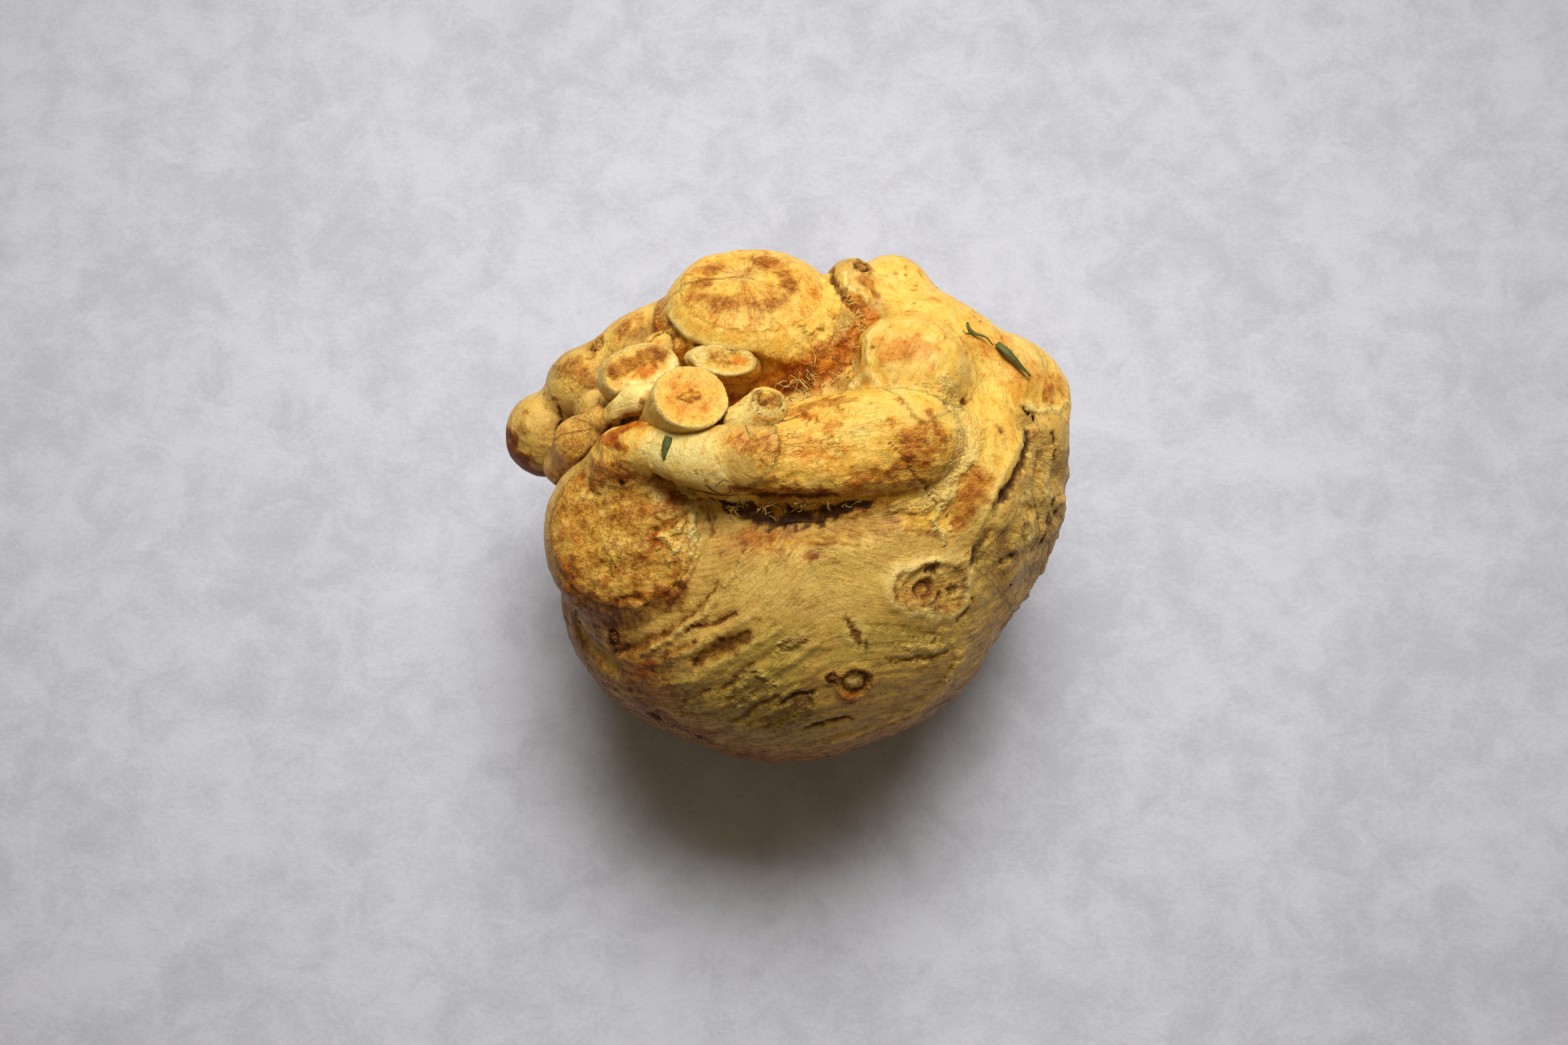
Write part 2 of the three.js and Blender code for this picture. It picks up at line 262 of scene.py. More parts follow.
def side_root(towards, height, half):
    """A stump on the body's skin that faces out from the body's centre and is cut across."""
    turn = math.radians(towards)
    level = height - BODY_CENTRE[2]
    share = abs(level) / (BODY_UP if level > 0 else BODY_DOWN)
    widest = float(radius_towards(np.array([float(towards)]))[0])
    whole = widest * (1 - share**BODY_FULLNESS) ** (1 / BODY_FULLNESS)
    out = whole * (1 - BODY_DRAW_IN * share * share) - half * 0.35
    face = (out * math.cos(turn), out * math.sin(turn), level)
    at = tuple(middle + offset for middle, offset in zip(BODY_CENTRE, face))
    return Shoot(f"side root {towards}", at, (half, half, half), face, (-math.sin(turn), math.cos(turn), 0),
                 half * 0.7, 1.5, 0.5, 2)


STUMPS = tuple(side_root(*stump) for stump in SIDE_ROOTS)


def root_distance(points):
    distance = body_distance(points)
    for slope in SLOPES:
        distance = soft_max(distance, slope.distance(points), slope.blend)
    for form in (*GROWN, *STUMPS):
        distance = soft_min(distance, form.distance(points), form.blend)
    for form in HOLLOWED:
        distance = soft_max(distance, -form.distance(points), form.blend)
    return soft_max(distance, -points[:, 2], 1)


# From a field to an even mesh

BLOCK = 4  # cells along the side of a block that is filled or passed over as one
CORNERS = np.array([[i, j, k] for i in (0, 1) for j in (0, 1) for k in (0, 1)])
CELL_EDGES = [
    (a, b) for a in range(8) for b in range(a + 1, 8) if np.abs(CORNERS[a] - CORNERS[b]).sum() == 1
]


def sampled(field, low, high, step):
    """The field on a grid, sampled only in the blocks that its surface may cross."""
    blocks = [math.ceil((b - a) / step / BLOCK) for a, b in zip(low, high)]
    axes = [a + step * np.arange(count * BLOCK + 1) for a, count in zip(low, blocks)]
    middles = [axis[:-1].reshape(-1, BLOCK).mean(axis=1) + step / 2 for axis in axes]
    centres = np.stack(np.meshgrid(*middles, indexing="ij"), -1).reshape(-1, 3)
    coarse = np.concatenate([field(part) for part in np.array_split(centres, 8)]).reshape(blocks)
    values = np.pad(coarse.repeat(BLOCK, 0).repeat(BLOCK, 1).repeat(BLOCK, 2), ((0, 1),) * 3, mode="edge")
    reach = BLOCK * step * 1.25 + step
    crossed = np.argwhere(np.abs(coarse) < reach)
    inside = np.stack(np.meshgrid(*[np.arange(BLOCK + 1)] * 3, indexing="ij"), -1).reshape(-1, 3)
    for part in np.array_split(crossed, 1 + len(crossed) // 2500):
        index = (part[:, None] * BLOCK + inside).reshape(-1, 3).T
        values[tuple(index)] = field(np.stack([axes[k][index[k]] for k in range(3)], 1))
    return values, axes


def netted(values, axes):
    """Surface nets: a point in each crossed cell, and a four-sided face on each crossed grid edge."""
    solid = values < 0
    shape = [count - 1 for count in values.shape]
    filled = sum(
        solid[i : shape[0] + i, j : shape[1] + j, k : shape[2] + k].astype(np.int8) for i, j, k in CORNERS
    )
    cells = np.argwhere((filled > 0) & (filled < 8))
    index = np.full(shape, -1)
    index[tuple(cells.T)] = np.arange(len(cells))
    corner = np.stack([values[tuple((cells + c).T)] for c in CORNERS], 1)
    total = np.zeros((len(cells), 3))
    count = np.zeros(len(cells))
    for a, b in CELL_EDGES:
        crossed = (corner[:, a] < 0) != (corner[:, b] < 0)
        share = np.where(crossed, corner[:, a] / np.where(crossed, corner[:, a] - corner[:, b], 1), 0)
        total += (CORNERS[a] + share[:, None] * (CORNERS[b] - CORNERS[a])) * crossed[:, None]
        count += crossed
    place = cells + total / count[:, None]
    step = axes[0][1] - axes[0][0]
    points = np.array([axis[0] for axis in axes]) + place * step
    faces = []
    for k in range(3):
        u, v = (k + 1) % 3, (k + 2) % 3
        first, second = [slice(None)] * 3, [slice(None)] * 3
        first[k], second[k] = slice(0, -1), slice(1, None)
        start, end = solid[tuple(first)], solid[tuple(second)]
        edges = np.argwhere(start != end)
        leaving = start[tuple(edges.T)]
        ring = []
        for du, dv in ((1, 1), (0, 1), (0, 0), (1, 0)):
            cell = edges.copy()
            cell[:, u] -= du
            cell[:, v] -= dv
            ring.append(index[tuple(cell.T)])
        ring = np.stack(ring, 1)
        ring[~leaving] = ring[~leaving][:, ::-1]
        faces.append(ring)
    return points, np.concatenate(faces)


def slope_of(field, points, step=0.25):
    """The field's unit gradient, from four samples at the corners of a small tetrahedron."""
    ways = np.array([[1, -1, -1], [-1, -1, 1], [-1, 1, -1], [1, 1, 1]], float)
    total = sum(field(points + way * step)[:, None] * way for way in ways)
    return total / (np.linalg.norm(total, axis=1, keepdims=True) + 1e-12)


def brought_to(field, points, above=0):
    """Points moved onto the field's surface, or to a height above it."""
    for _ in range(3):
        points = points - slope_of(field, points) * (field(points) - above)[:, None]
    return points


def meshed(field, low, high, step):
    """Points on the field's surface, their outward ways, and the faces between them."""
    points, faces = netted(*sampled(field, low, high, step))
    for _ in range(2):
        outward = slope_of(field, points)
        points = points - outward * np.clip(field(points), -step, step)[:, None]
    return points, slope_of(field, points), faces


def mesh_object(name, points, faces, paint=None):
    """A smooth-shaded object from points in millimetres, with named paint layers on its points."""
    mesh = bpy.data.meshes.new(name)
    mesh.from_pydata((points * MM).tolist(), [], faces.tolist())
    mesh.polygons.foreach_set("use_smooth", np.ones(len(mesh.polygons), bool))
    for layer, values in (paint or {}).items():
        kind = "FLOAT" if values.ndim == 1 else "FLOAT_VECTOR"
        socket = "value" if values.ndim == 1 else "vector"
        data = mesh.attributes.new(layer, kind, "POINT").data
        data.foreach_set(socket, values.astype(np.float32).ravel())
    mesh.update()
    piece = bpy.data.objects.new(name, mesh)
    bpy.context.scene.collection.objects.link(piece)
    return piece


# Noise


# The ways from a cube's middle to the middles of its twelve edges.
EDGE_WAYS = np.array(
    [
        [i, j, k]
        for i in (-1, 0, 1) for j in (-1, 0, 1) for k in (-1, 0, 1)
        if abs(i) + abs(j) + abs(k) == 2
    ],
    float,
)


def hashed(cells, seed):
    """An even random whole number for each whole-numbered cell."""
    i, j, k = cells.astype(np.int64).astype(np.uint32).T
    mixed = i * np.uint32(0x8DA6B343) ^ j * np.uint32(0xD8163841) ^ k * np.uint32(0xCB1AB31F)
    mixed = mixed ^ np.uint32(seed * 0x9E3779B1 & 0xFFFFFFFF)
    for shift, factor in ((15, 0x2C1B3C6D), (12, 0x297A2D39)):
        mixed = (mixed ^ (mixed >> np.uint32(shift))) * np.uint32(factor)
    return mixed ^ (mixed >> np.uint32(15))


def noise(points, size, seed=0):
    """Smooth noise, mostly from -1 to 1, whose lumps are about size across, one size or one an axis."""
    scaled = np.asarray(points, float) / size
    cells = np.floor(scaled)
    share = scaled - cells
    fade = share * share * share * (share * (share * 6 - 15) + 10)
    total = 0
    for corner in CORNERS:
        weight = np.prod(np.where(corner == 1, fade, 1 - fade), axis=1)
        way = EDGE_WAYS[hashed(cells + corner, seed) % 12]
        total = total + weight * np.einsum("ij,ij->i", share - corner, way)
    return total * 1.35


def rough(points, size, seed=0, octaves=3, fade=0.5):
    """Noise summed over ever finer lumps, stretched to reach about -1 and 1."""
    size = np.asarray(size, float)
    total = sum(fade**n * noise(points, size / 2**n, seed + 17 * n) for n in range(octaves))
    return total * 1.5 / sum(fade**n for n in range(octaves))


def step_up(low, high, values):
    """0 below low, 1 above high, and smooth between them."""
    share = np.clip((values - low) / (high - low), 0, 1)
    return share * share * (3 - 2 * share)


def hump(values, centre, width):
    """1 at the centre, falling away smoothly over width on both sides."""
    return np.exp(-(((values - centre) / width) ** 2))


# The skin: how far it is lifted, and what is painted on it

LAYERS = ("gold", "cream", "green", "stain", "orange", "dirt", "crumb", "lines")


class Skin:
    """Points on a field's surface, how far each is lifted outwards, its fibres and its layers of paint."""

    def __init__(self, field, points, outward, faces):
        self.field = field
        self.points = points
        self.outward = outward
        self.faces = faces
        self.lift = np.zeros(len(points))
        self.paint = {layer: np.zeros(len(points)) for layer in LAYERS}
        self.grain = points.copy()  # fibres run along x and y of this, and lie side by side along z

    def tint(self, amount, where=slice(None), **layers):
        """Lays amount, times each layer's strength, over what that layer holds."""
        for layer, strength in layers.items():
            share = np.clip(amount * strength, 0, 1)
            self.paint[layer][where] = 1 - (1 - self.paint[layer][where]) * (1 - share)

    def wipe(self, amount, *layers, where=slice(None)):
        for layer in layers:
            self.paint[layer][where] *= 1 - np.clip(amount, 0, 1)

    def around(self, stops, margin):
        """The points in a box round some stops."""
        low, high = stops[:, :3].min(axis=0) - margin, stops[:, :3].max(axis=0) + margin
        return np.flatnonzero(((self.points > low) & (self.points < high)).all(axis=1))

    def laid(self, stops, every=2.5):
        """Stops of x, y, z and half width, with more put between them, all brought to the surface."""
        dense = []
        for start, end in zip(stops[:-1], stops[1:]):
            start, way = np.array(start, float), np.array(end, float) - np.array(start, float)
            count = max(1, round(np.linalg.norm(way[:3]) / every))
            dense += [start + way * k / count for k in range(count)]
        dense = np.array(dense + [np.array(stops[-1], float)])
        dense[:, :3] = brought_to(self.field, dense[:, :3])
        return dense

    def smoothed(self, values, rounds):
        """Values averaged with their neighbours' along the mesh's edges, some rounds over."""
        start, end = self.faces.ravel(), np.roll(self.faces, -1, axis=1).ravel()
        count = np.bincount(start, minlength=len(values)) + np.bincount(end, minlength=len(values))
        for _ in range(rounds):
            total = np.bincount(start, values[end], len(values))
            total = total + np.bincount(end, values[start], len(values))
            values = (values + total / np.maximum(count, 1)) / 2
        return values

    def closeness(self):
        """How far the surface ahead closes in: 0 in the open, and near 1 deep in a crevice."""
        total = 0
        for reach, share in ((1.5, 0.25), (4, 0.4), (9, 0.35)):
            ahead = self.field(self.points + self.outward * reach)
            total = total + share * np.clip(1 - ahead / reach, 0, 1)
        return total

    def placed(self, name):
        """The finished mesh object, with its lift applied and its paint on its points."""
        points = self.points + self.outward * self.lift[:, None]
        points[:, 2] = np.maximum(points[:, 2], 0)
        return mesh_object(name, points, self.faces, {**self.paint, "grain": self.grain})


@dataclass
class Mark:
    """A mark over the skin through stops of x, y, z and half width.

    Its middle is lifted by lift and its edge by lip, both in millimetres. The paint names layers: over it
    all, on its lip, or in a line just inside the edge. The layers to clear are wiped off first.
    """

    name: str
    stops: tuple
    lift: float = 0
    lip: float = 0
    ragged: float = 0.35
    paint: dict = None
    lip_paint: dict = None
    line: dict = None
    clear: tuple = ()

    def reach(self, stops, points):
        """0 along the middle of the mark and 1 at its edge."""
        if len(stops) == 1:
            return np.linalg.norm(points - stops[0, :3], axis=1) / stops[0, 3]
        nearest = None
        for start, end in zip(stops[:-1], stops[1:]):
            way = end[:3] - start[:3]
            share = np.clip((points - start[:3]) @ way / max(np.dot(way, way), 1e-6), 0, 1)
            off = np.linalg.norm(points - start[:3] - share[:, None] * way, axis=1)
            part = off / (start[3] + (end[3] - start[3]) * share)
            nearest = part if nearest is None else np.minimum(nearest, part)
        return nearest

    def make(self, skin, seed):
        stops = skin.laid(self.stops)
        widest = stops[:, 3].max()
        where = skin.around(stops, widest * 2 + 1)
        points = skin.points[where]
        strayed = points + 0.5 * np.stack([rough(points, 4, axis, 2) for axis in (1, 2, 3)], 1)
        reach = self.reach(stops, strayed)
        reach = reach * (1 + self.ragged * rough(points, max(1.2, widest * 0.9), seed, 2))
        inside = 1 - step_up(0.4, 1.25, reach)
        edge = hump(reach, 1.15, 0.32)
        skin.lift[where] += self.lift * np.clip(1 - reach * reach / 1.7, 0, 1) ** 1.6 + self.lip * edge
        skin.wipe(inside, *self.clear, where=where)
        skin.tint(inside, where, **(self.paint or {}))
        skin.tint(edge, where, **(self.lip_paint or {}))
        if self.line:
            skin.tint(hump(reach, 0.93, 0.14), where, **self.line)


@dataclass
class RootScar:
    """Where a side root broke away: a sunken ring round a pithy middle, with a rim and a brown halo."""

    name: str
    at: tuple
    radius: float
    halo: float = 1.7  # in its own radii
    depth: float = 0.7
    rim: float = 0.35
    dark: float = 1

    def make(self, skin, seed):
        stop = skin.laid(((*self.at, self.radius),))
        where = skin.around(stop, self.radius * self.halo * 1.3 + 1)
        points = skin.points[where]
        off = np.linalg.norm(points - stop[0, :3], axis=1) / self.radius
        off = off * (1 + 0.14 * rough(points, self.radius * 0.8, seed, 2))
        ring = hump(off, 0.85, 0.2)
        rim = hump(off, 1.25, 0.22)
        middle = 1 - step_up(0.75, 1, off)
        pith = rough(points, 0.9, seed + 5, 2)
        raised = self.rim * rim - self.depth * ring - 0.35 * self.depth * middle + 0.22 * middle * pith
        skin.lift[where] += raised
        skin.tint(1 - step_up(1.1, self.halo, off), where, stain=0.55, orange=0.25)
        skin.tint(rim, where, cream=0.25)
        skin.tint(middle, where, crumb=0.9, stain=0.5)
        skin.tint(ring, where, dirt=0.9 * self.dark)


# How fibres and wrinkles wind round the body: how far a line has come down from the crown, in degrees,
# against the way it lies round the body.
WINDING = (
    (-180, 60), (-150, 57), (-125, 40), (-110, 29), (-97, 17), (-85, 9), (-72, 7), (-58, 12), (-45, 22),
    (-30, 34), (0, 48), (60, 52), (120, 58), (180, 60),
)


def winding_table():
    round_ways = np.arange(-180, 541)
    ways, falls = np.array(WINDING, float).T
    whole = np.interp((round_ways + 180) % 360 - 180, ways, falls)
    kernel = np.exp(-((np.arange(-24, 25) / 9) ** 2))
    smooth = np.convolve(whole, kernel / kernel.sum(), "same")
    return smooth[180:541]


def body_fibres(points):
    """Coordinates in millimetres whose z counts across the fibres that wind round the body."""
    x, y, z = (points - np.array(BODY_CENTRE)).T
    azimuth = np.degrees(np.arctan2(y, x))
    polar = np.degrees(np.arctan2(np.hypot(x, y), z))
    fall = np.interp(azimuth % 360, np.arange(361), winding_table())
    across = np.radians(polar - fall) * BODY_RADIUS
    return np.stack([points[:, 0], points[:, 1], across], 1)


# Marks on the root, in the order in which they are laid

MARKS = (
    # broad washes over the head
    Mark("shoulder gold", ((46, 24, 72, 9), (43, 13, 76, 9), (38, 3, 79, 8), (33, -5, 80, 6),
                           (26, -8, 80, 4)), 0, 0, 0.4, {"gold": 1}, clear=("green", "stain")),
    Mark("neck gold", ((-38, 8, 78, 4), (-34, 8, 80, 6), (-27, 7, 82, 6), (-20, 5, 84, 6)), 0, 0, 0.4,
         {"gold": 1}, clear=("green", "stain")),
    Mark("pale front", ((-5, -20, 81, 6), (4, -24, 80, 8), (11, -25, 79, 6)), 0, 0, 0.7, {"cream": 0.3}),
    Mark("crown brown", ((-5, 21, 74, 3), (2.3, 22.6, 75.8, 4), (8, 24.6, 76, 4.6), (13, 30.8, 73.4, 3),
                         (15.8, 36, 72.4, 2.6), (13.4, 39.6, 74.2, 2)), 0, 0, 0.5,
         {"gold": 1, "stain": 0.6, "orange": 0.7}, clear=("green", "cream")),
    # Painted shade deep in the crevice round the crown.
    Mark("crown's painted shade", ((-3, 20.4, 74, 1.4), (4, 21.6, 75, 1.5), (11, 24, 75.6, 1.2)), -0.5, 0, 0.6,
         {"stain": 0.9}),
    Mark("wall rubble", ((9, 29, 78, 3), (13, 34, 76, 2.4)), 0.2, 0, 0.8, {"crumb": 0.8, "orange": 0.3}),
    # the front of the body, below the ridge
    Mark("wash under ridge", ((-9, -12, 79, 4), (-1, -12.6, 81, 6), (8, -12, 81, 4), (20, -9.6, 80, 3)),
         0, 0, 0.7, {"stain": 0.5, "orange": 0.15}),
    Mark("shade under ridge", ((-15, -6.6, 80, 0.9), (-8, -7.6, 80.4, 1.6), (-2, -8, 80.8, 1.8),
                               (4, -7.8, 81.4, 1.5), (11, -7.4, 82, 1.3), (17, -6.4, 82, 0.9)), -0.5, 0, 0.7,
         {"dirt": 0.9, "stain": 1}),
    Mark("shade by stalk", ((-14.5, 8.6, 84, 1.1), (-12.4, 12, 83, 1.3), (-9.6, 15, 82, 1.2)), -0.8, 0, 0.4,
         {"dirt": 0.9, "stain": 1, "orange": 0.5}),
    Mark("orange wash", ((-6.2, -11.4, 79.4, 2), (-4.8, -14.6, 80, 1.4)), 0, 0, 0.8,
         {"orange": 0.5, "stain": 0.4}),
    Mark("standing streak", ((-8.6, -10, 79, 0.8), (-8.2, -15.4, 80, 0.7)), -0.2, 0.2, 0.6, {"stain": 0.5}),
    Mark("standing streak b", ((-2.4, -10.4, 80, 0.8), (-2.8, -14, 81, 0.6)), -0.2, 0, 0.6,
         {"stain": 0.6, "orange": 0.3}),
    Mark("brown pit", ((4.6, -16.6, 82, 1.2), (6, -16.2, 82, 0.9)), -0.3, 0.1, 0.5,
         {"stain": 0.8, "orange": 0.5}),
    Mark("thin line", ((0.8, -13.1, 81, 0.35), (10.2, -14.2, 82.2, 0.45), (17.6, -14.7, 81.4, 0.35)), -0.3,
         paint={"stain": 0.8}),
    Mark("upper pit", ((10.3, -17, 82.1, 0.9),), -0.4, 0.15, paint={"stain": 1, "dirt": 0.4}),
    Mark("slit", ((12.9, -28.1, 77.6, 0.6), (14, -30.6, 76, 1.1), (15.1, -32.7, 74.2, 0.7)), -0.7, 0.3,
         paint={"stain": 0.9, "dirt": 0.35}, lip_paint={"cream": 0.3}),
    Mark("slit's tail", ((16.2, -31.5, 74.6, 0.4), (16.9, -34, 72.8, 0.35)), -0.35, 0.1, paint={"dirt": 0.7}),
    Mark("rough patch a", ((0.6, -33.2, 76.3, 1.2), (4, -32, 76.6, 0.9)), 0.1, 0.2, 0.6,
         {"crumb": 0.8, "stain": 0.45}, {"cream": 0.3}),
    Mark("rough patch b", ((-10, -42, 66, 1.5), (-5, -39.5, 71, 1.9)), -0.2, 0.35, 0.6,
         {"crumb": 0.8, "stain": 0.3}, {"cream": 0.35}),
    Mark("rough patch c", ((-2.5, -46, 62, 1.5), (2.5, -44.5, 66, 2.4), (4.5, -43, 68.5, 1.4)),
         -0.5, 0.4, 0.5, {"crumb": 0.9, "stain": 0.4}, {"dirt": 0.35}),
    Mark("dark over patch", ((-1.2, -43.4, 66.8, 0.5), (2.2, -42, 69.3, 0.8), (5.8, -41.8, 69.3, 0.5)), -0.7,
         paint={"dirt": 0.85}),
    Mark("small pit a", ((-5.1, -28.4, 78.1, 0.8),), -0.4, 0.15, paint={"stain": 0.9, "dirt": 0.3}),
    # wrinkles: ridges low on the left, and the grooves between them
    Mark("ridge 1", ((-27, -34.5, 64.5, 1.2), (-20, -33.4, 69.6, 1.3), (-12.7, -30.6, 75, 1.2),
                     (-5.5, -27, 78.4, 0.7)), 0.45, 0, 0.25, {"cream": 0.2}),
    Mark("ridge 2", ((-25, -38.9, 62, 0.8), (-18.6, -38.4, 67.2, 1), (-12.4, -36.2, 71.8, 1.1),
                     (-0.8, -30.2, 77.9, 0.7)), 0.4, 0, 0.25, {"cream": 0.15}),
    Mark("ridge 3", ((-16, -43.6, 62, 0.8), (-9.4, -41.8, 67.4, 1), (-3.2, -38.2, 72.2, 1.1),
                     (6.5, -33, 76, 0.7)), 0.4, 0, 0.25, {"cream": 0.15}),
    Mark("ridge 4", ((-8, -44, 64, 0.8), (-1, -40.4, 70.2, 0.9), (9, -36.3, 72.9, 0.6)), 0.3, 0, 0.25,
         {"cream": 0.1}),
    Mark("ridge 5", ((-22, -43, 56, 1.2), (-12, -45, 60, 1.3), (-6, -46.5, 60, 0.9)), 0.35,
         paint={"cream": 0.15}),
    Mark("fold line", ((-19.5, -29, 72.3, 0.5), (-14, -28.4, 75.3, 0.9), (-9.2, -27.3, 77.3, 0.6)),
         -0.7, 0.15, 0.3, {"stain": 0.8, "dirt": 0.2}),
    Mark("fold line below", ((-24.5, -33.5, 67, 0.5), (-17.5, -31.6, 72, 0.8)), -0.5, 0.1, 0.3,
         {"stain": 0.7, "dirt": 0.15}),
    Mark("dark hollow", ((-18, -35.6, 69.6, 1), (-12.4, -33.2, 73.4, 2.4), (-7, -31.4, 76.1, 1.7)),
         -1, 0, 0.5, {"stain": 0.9, "dirt": 0.35, "green": 0.4}),
    Mark("lower left brown", ((-40, -22, 62, 6), (-36, -26, 62, 8), (-30, -31, 62, 7), (-26, -36, 58, 7)),
         0, 0, 0.6, {"stain": 0.5, "orange": 0.1}, clear=("green",)),
    Mark("groove 2", ((-11, -45.7, 60, 0.6), (-5.5, -43.3, 65.6, 1.1), (-1.8, -41.8, 68.6, 0.7)),
         -0.6, 0, 0.2, {"stain": 0.5, "dirt": 0.1}),
    Mark("groove 3", ((-13.5, -40.7, 66.6, 0.6), (-5, -35.6, 73.8, 0.9), (1, -32.6, 76.7, 0.6)), -0.5, 0, 0.2,
         {"stain": 0.4, "dirt": 0.1}),
    Mark("groove 4", ((-20, -41, 61, 0.7), (-12, -38.8, 69, 0.7)), -0.45, 0, 0.2,
         {"stain": 0.4, "dirt": 0.1}),
    Mark("groove right a", ((16.5, -28.6, 76.6, 0.5), (24, -29.2, 73.4, 1), (31, -29.5, 69.2, 0.7)),
         -0.4, 0.05, 0.5, {"green": 0.5, "stain": 0.5}),
    Mark("groove right b", ((22, -31.6, 72.6, 0.5), (32, -30.6, 67.6, 0.8)), -0.3, 0, 0.5,
         {"green": 0.4, "stain": 0.4}),
    Mark("groove right c", ((20.5, -35, 70.6, 0.5), (27, -34.2, 68.2, 0.8), (33, -32.4, 64.4, 0.5)),
         -0.5, 0, 0.5, {"stain": 0.6}),
    Mark("right bumps", ((25.5, -32.8, 70.6, 1.2), (31.5, -31.8, 67, 1)), 0.3, 0, 0.8,
         {"crumb": 0.5, "cream": 0.2}),
    # scars on the front
    Mark("oval scar", ((25.4, -21.6, 76.8, 4.2), (32.2, -20.4, 73.4, 5.1)), -0.7, 0.7, 0.1,
         {"crumb": 0.5, "stain": 0.15, "orange": 0.2, "gold": 0.4}, {"cream": 0.6},
         {"dirt": 0.3, "stain": 0.7}, ("green",)),
    Mark("oval scar's rim", ((22.6, -22.4, 77.6, 0.5), (25, -18.2, 78, 0.6), (30.4, -15.9, 76.2, 0.7),
                             (35.4, -16.9, 72.9, 0.7), (36.9, -20, 70.9, 0.7)), 0.5, 0, 0.3, {"cream": 0.6}),
    Mark("oval scar's lump", ((32.4, -18.6, 74.4, 1.5), (33.4, -20, 73.4, 1.1)), 0.5, 0.1, 0.6,
         {"crumb": 0.6}),
    Mark("oval scar's lump b", ((29.6, -23.6, 74, 1.4),), 0.5, 0.1, 0.6, {"crumb": 0.6, "cream": 0.3}),
    Mark("oval scar's fold", ((23.4, -24.4, 76.6, 0.4), (27.4, -25.6, 74.2, 0.6), (31.6, -25.2, 71.8, 0.5)),
         0.5, 0, 0.3, {"cream": 0.8}),
    Mark("oval scar's fold b", ((24.4, -25.6, 75.6, 0.35), (28.6, -27.2, 72.6, 0.5)), 0.35, 0, 0.4,
         {"cream": 0.5}),
    RootScar("oval scar's eye", (27.8, -21.8, 75.5), 2, 1.4, 0.6, 0.7, 0.35),
    Mark("oval scar's pit a", ((30.2, -17.6, 75.9, 1.3), (28.4, -17.8, 76.4, 0.9)), -0.8, 0.3, 0.3,
         {"dirt": 0.55}, {"cream": 0.4}),
    Mark("oval scar's pit b", ((31.6, -22.6, 72.9, 1),), -0.7, 0.3, 0.3, {"dirt": 0.5}, {"cream": 0.3}),
    Mark("oval scar's pit c", ((34.2, -21, 71.6, 1.3),), -0.7, 0.4, 0.3, {"dirt": 0.3}, {"cream": 0.5}),
    Mark("oval scar's knob", ((28.8, -18.2, 76.2, 1.1),), 0.6, 0, 0.5, {"crumb": 1, "stain": 0.4}),
    RootScar("round scar", (14.1, -39.2, 68.8), 2.9, 1.9, 0.6, 0.6, 0.25),
    Mark("round scar's pith", ((14.1, -39.2, 68.8, 1.9),), 0, 0, 0.4, {"cream": 0.5, "crumb": 0.8},
         clear=("stain",)),
    RootScar("round scar's blob", (9.6, -38.7, 70.7), 1.1, 1.3, 0.5, 0.4, 0.6),
    Mark("round scar's foot", ((11.4, -41.6, 67, 1), (14.6, -42.8, 65.2, 0.9)), 0.2, 0, 0.5,
         {"stain": 0.7, "orange": 0.5}),
    # the left shoot's foot and the crease that winds down from it
    Mark("winding line", ((-7.6, -15, 80.3, 0.4), (-8.8, -18.3, 80, 0.5), (-11.8, -22.3, 78, 0.6),
                          (-16.6, -27, 74.6, 0.7), (-22.9, -30.5, 69.6, 0.7), (-29, -32.6, 64.4, 0.5)),
         0.6, 0, 0.5, {"cream": 0.3, "crumb": 0.3}),
    Mark("crease inside it", ((-12.8, -20.6, 78, 0.5), (-17.4, -25.6, 74.6, 0.8), (-23.2, -28.8, 69.8, 0.9),
                              (-28.5, -30.9, 65.4, 1), (-33, -31, 61.6, 1)), -0.7,
         paint={"stain": 0.7, "dirt": 0.15}),
    Mark("left knob", ((-44.1, -22, 50.3, 2.4),), 1.2, 0, 0.4, {"dirt": 0.5, "stain": 0.9}),
    Mark("left knob's ring", ((-43.4, -23.6, 52.6, 0.8),), -0.5, 0.2, 0.3, {"dirt": 0.7}),
    Mark("fold knob", ((-34.6, -29.3, 61.3, 1.9),), 0.8, 0, 0.3, {"stain": 0.6}),
    Mark("fold knob's groove", ((-36.2, -29.8, 59.4, 0.6), (-33.6, -31.4, 60.9, 0.7),
                                (-31.8, -30.6, 63, 0.4)), -0.7, 0, 0.5, {"stain": 0.8, "dirt": 0.3}),
    Mark("fold's shade", ((-42, -26, 51.4, 1.6), (-38.6, -29.8, 55, 1.8), (-35.6, -33, 56.5, 2.2)), 0, 0, 0.4,
         {"dirt": 0.5, "stain": 0.8}),
    Mark("orange patch", ((-29.4, -35.6, 61.5, 2.2), (-26.5, -34.6, 64.6, 1.4)),
         paint={"orange": 0.6, "stain": 0.6}),
    Mark("low pit", ((-25.8, -43.4, 49.4, 2),), -0.9, 0.4, 0.5, {"dirt": 0.7, "stain": 0.7}),
    Mark("low pit's patch", ((-22.8, -44.6, 50, 4.4), (-16, -47, 49, 3.4)), 0.1, 0, 0.7,
         {"stain": 0.8, "dirt": 0.15}),
    Mark("low groove", ((-20.6, -45.4, 49.4, 1.1), (-16.4, -47, 47.6, 1.5)), -0.9, 0.2, 0.4, {"dirt": 0.85}),
    # the scraped edge low on the right
    Mark("scraped edge", ((36.4, -32, 60.8, 1.2), (33, -37.2, 57, 1.8), (27, -42, 52.5, 2.6),
                          (19.7, -45.3, 52.6, 2), (10.5, -48, 53, 1.2)), 0.4, 0.2, 0.5,
         {"gold": 1, "cream": 0.4, "orange": 0.3, "crumb": 0.5}, clear=("stain", "dirt")),
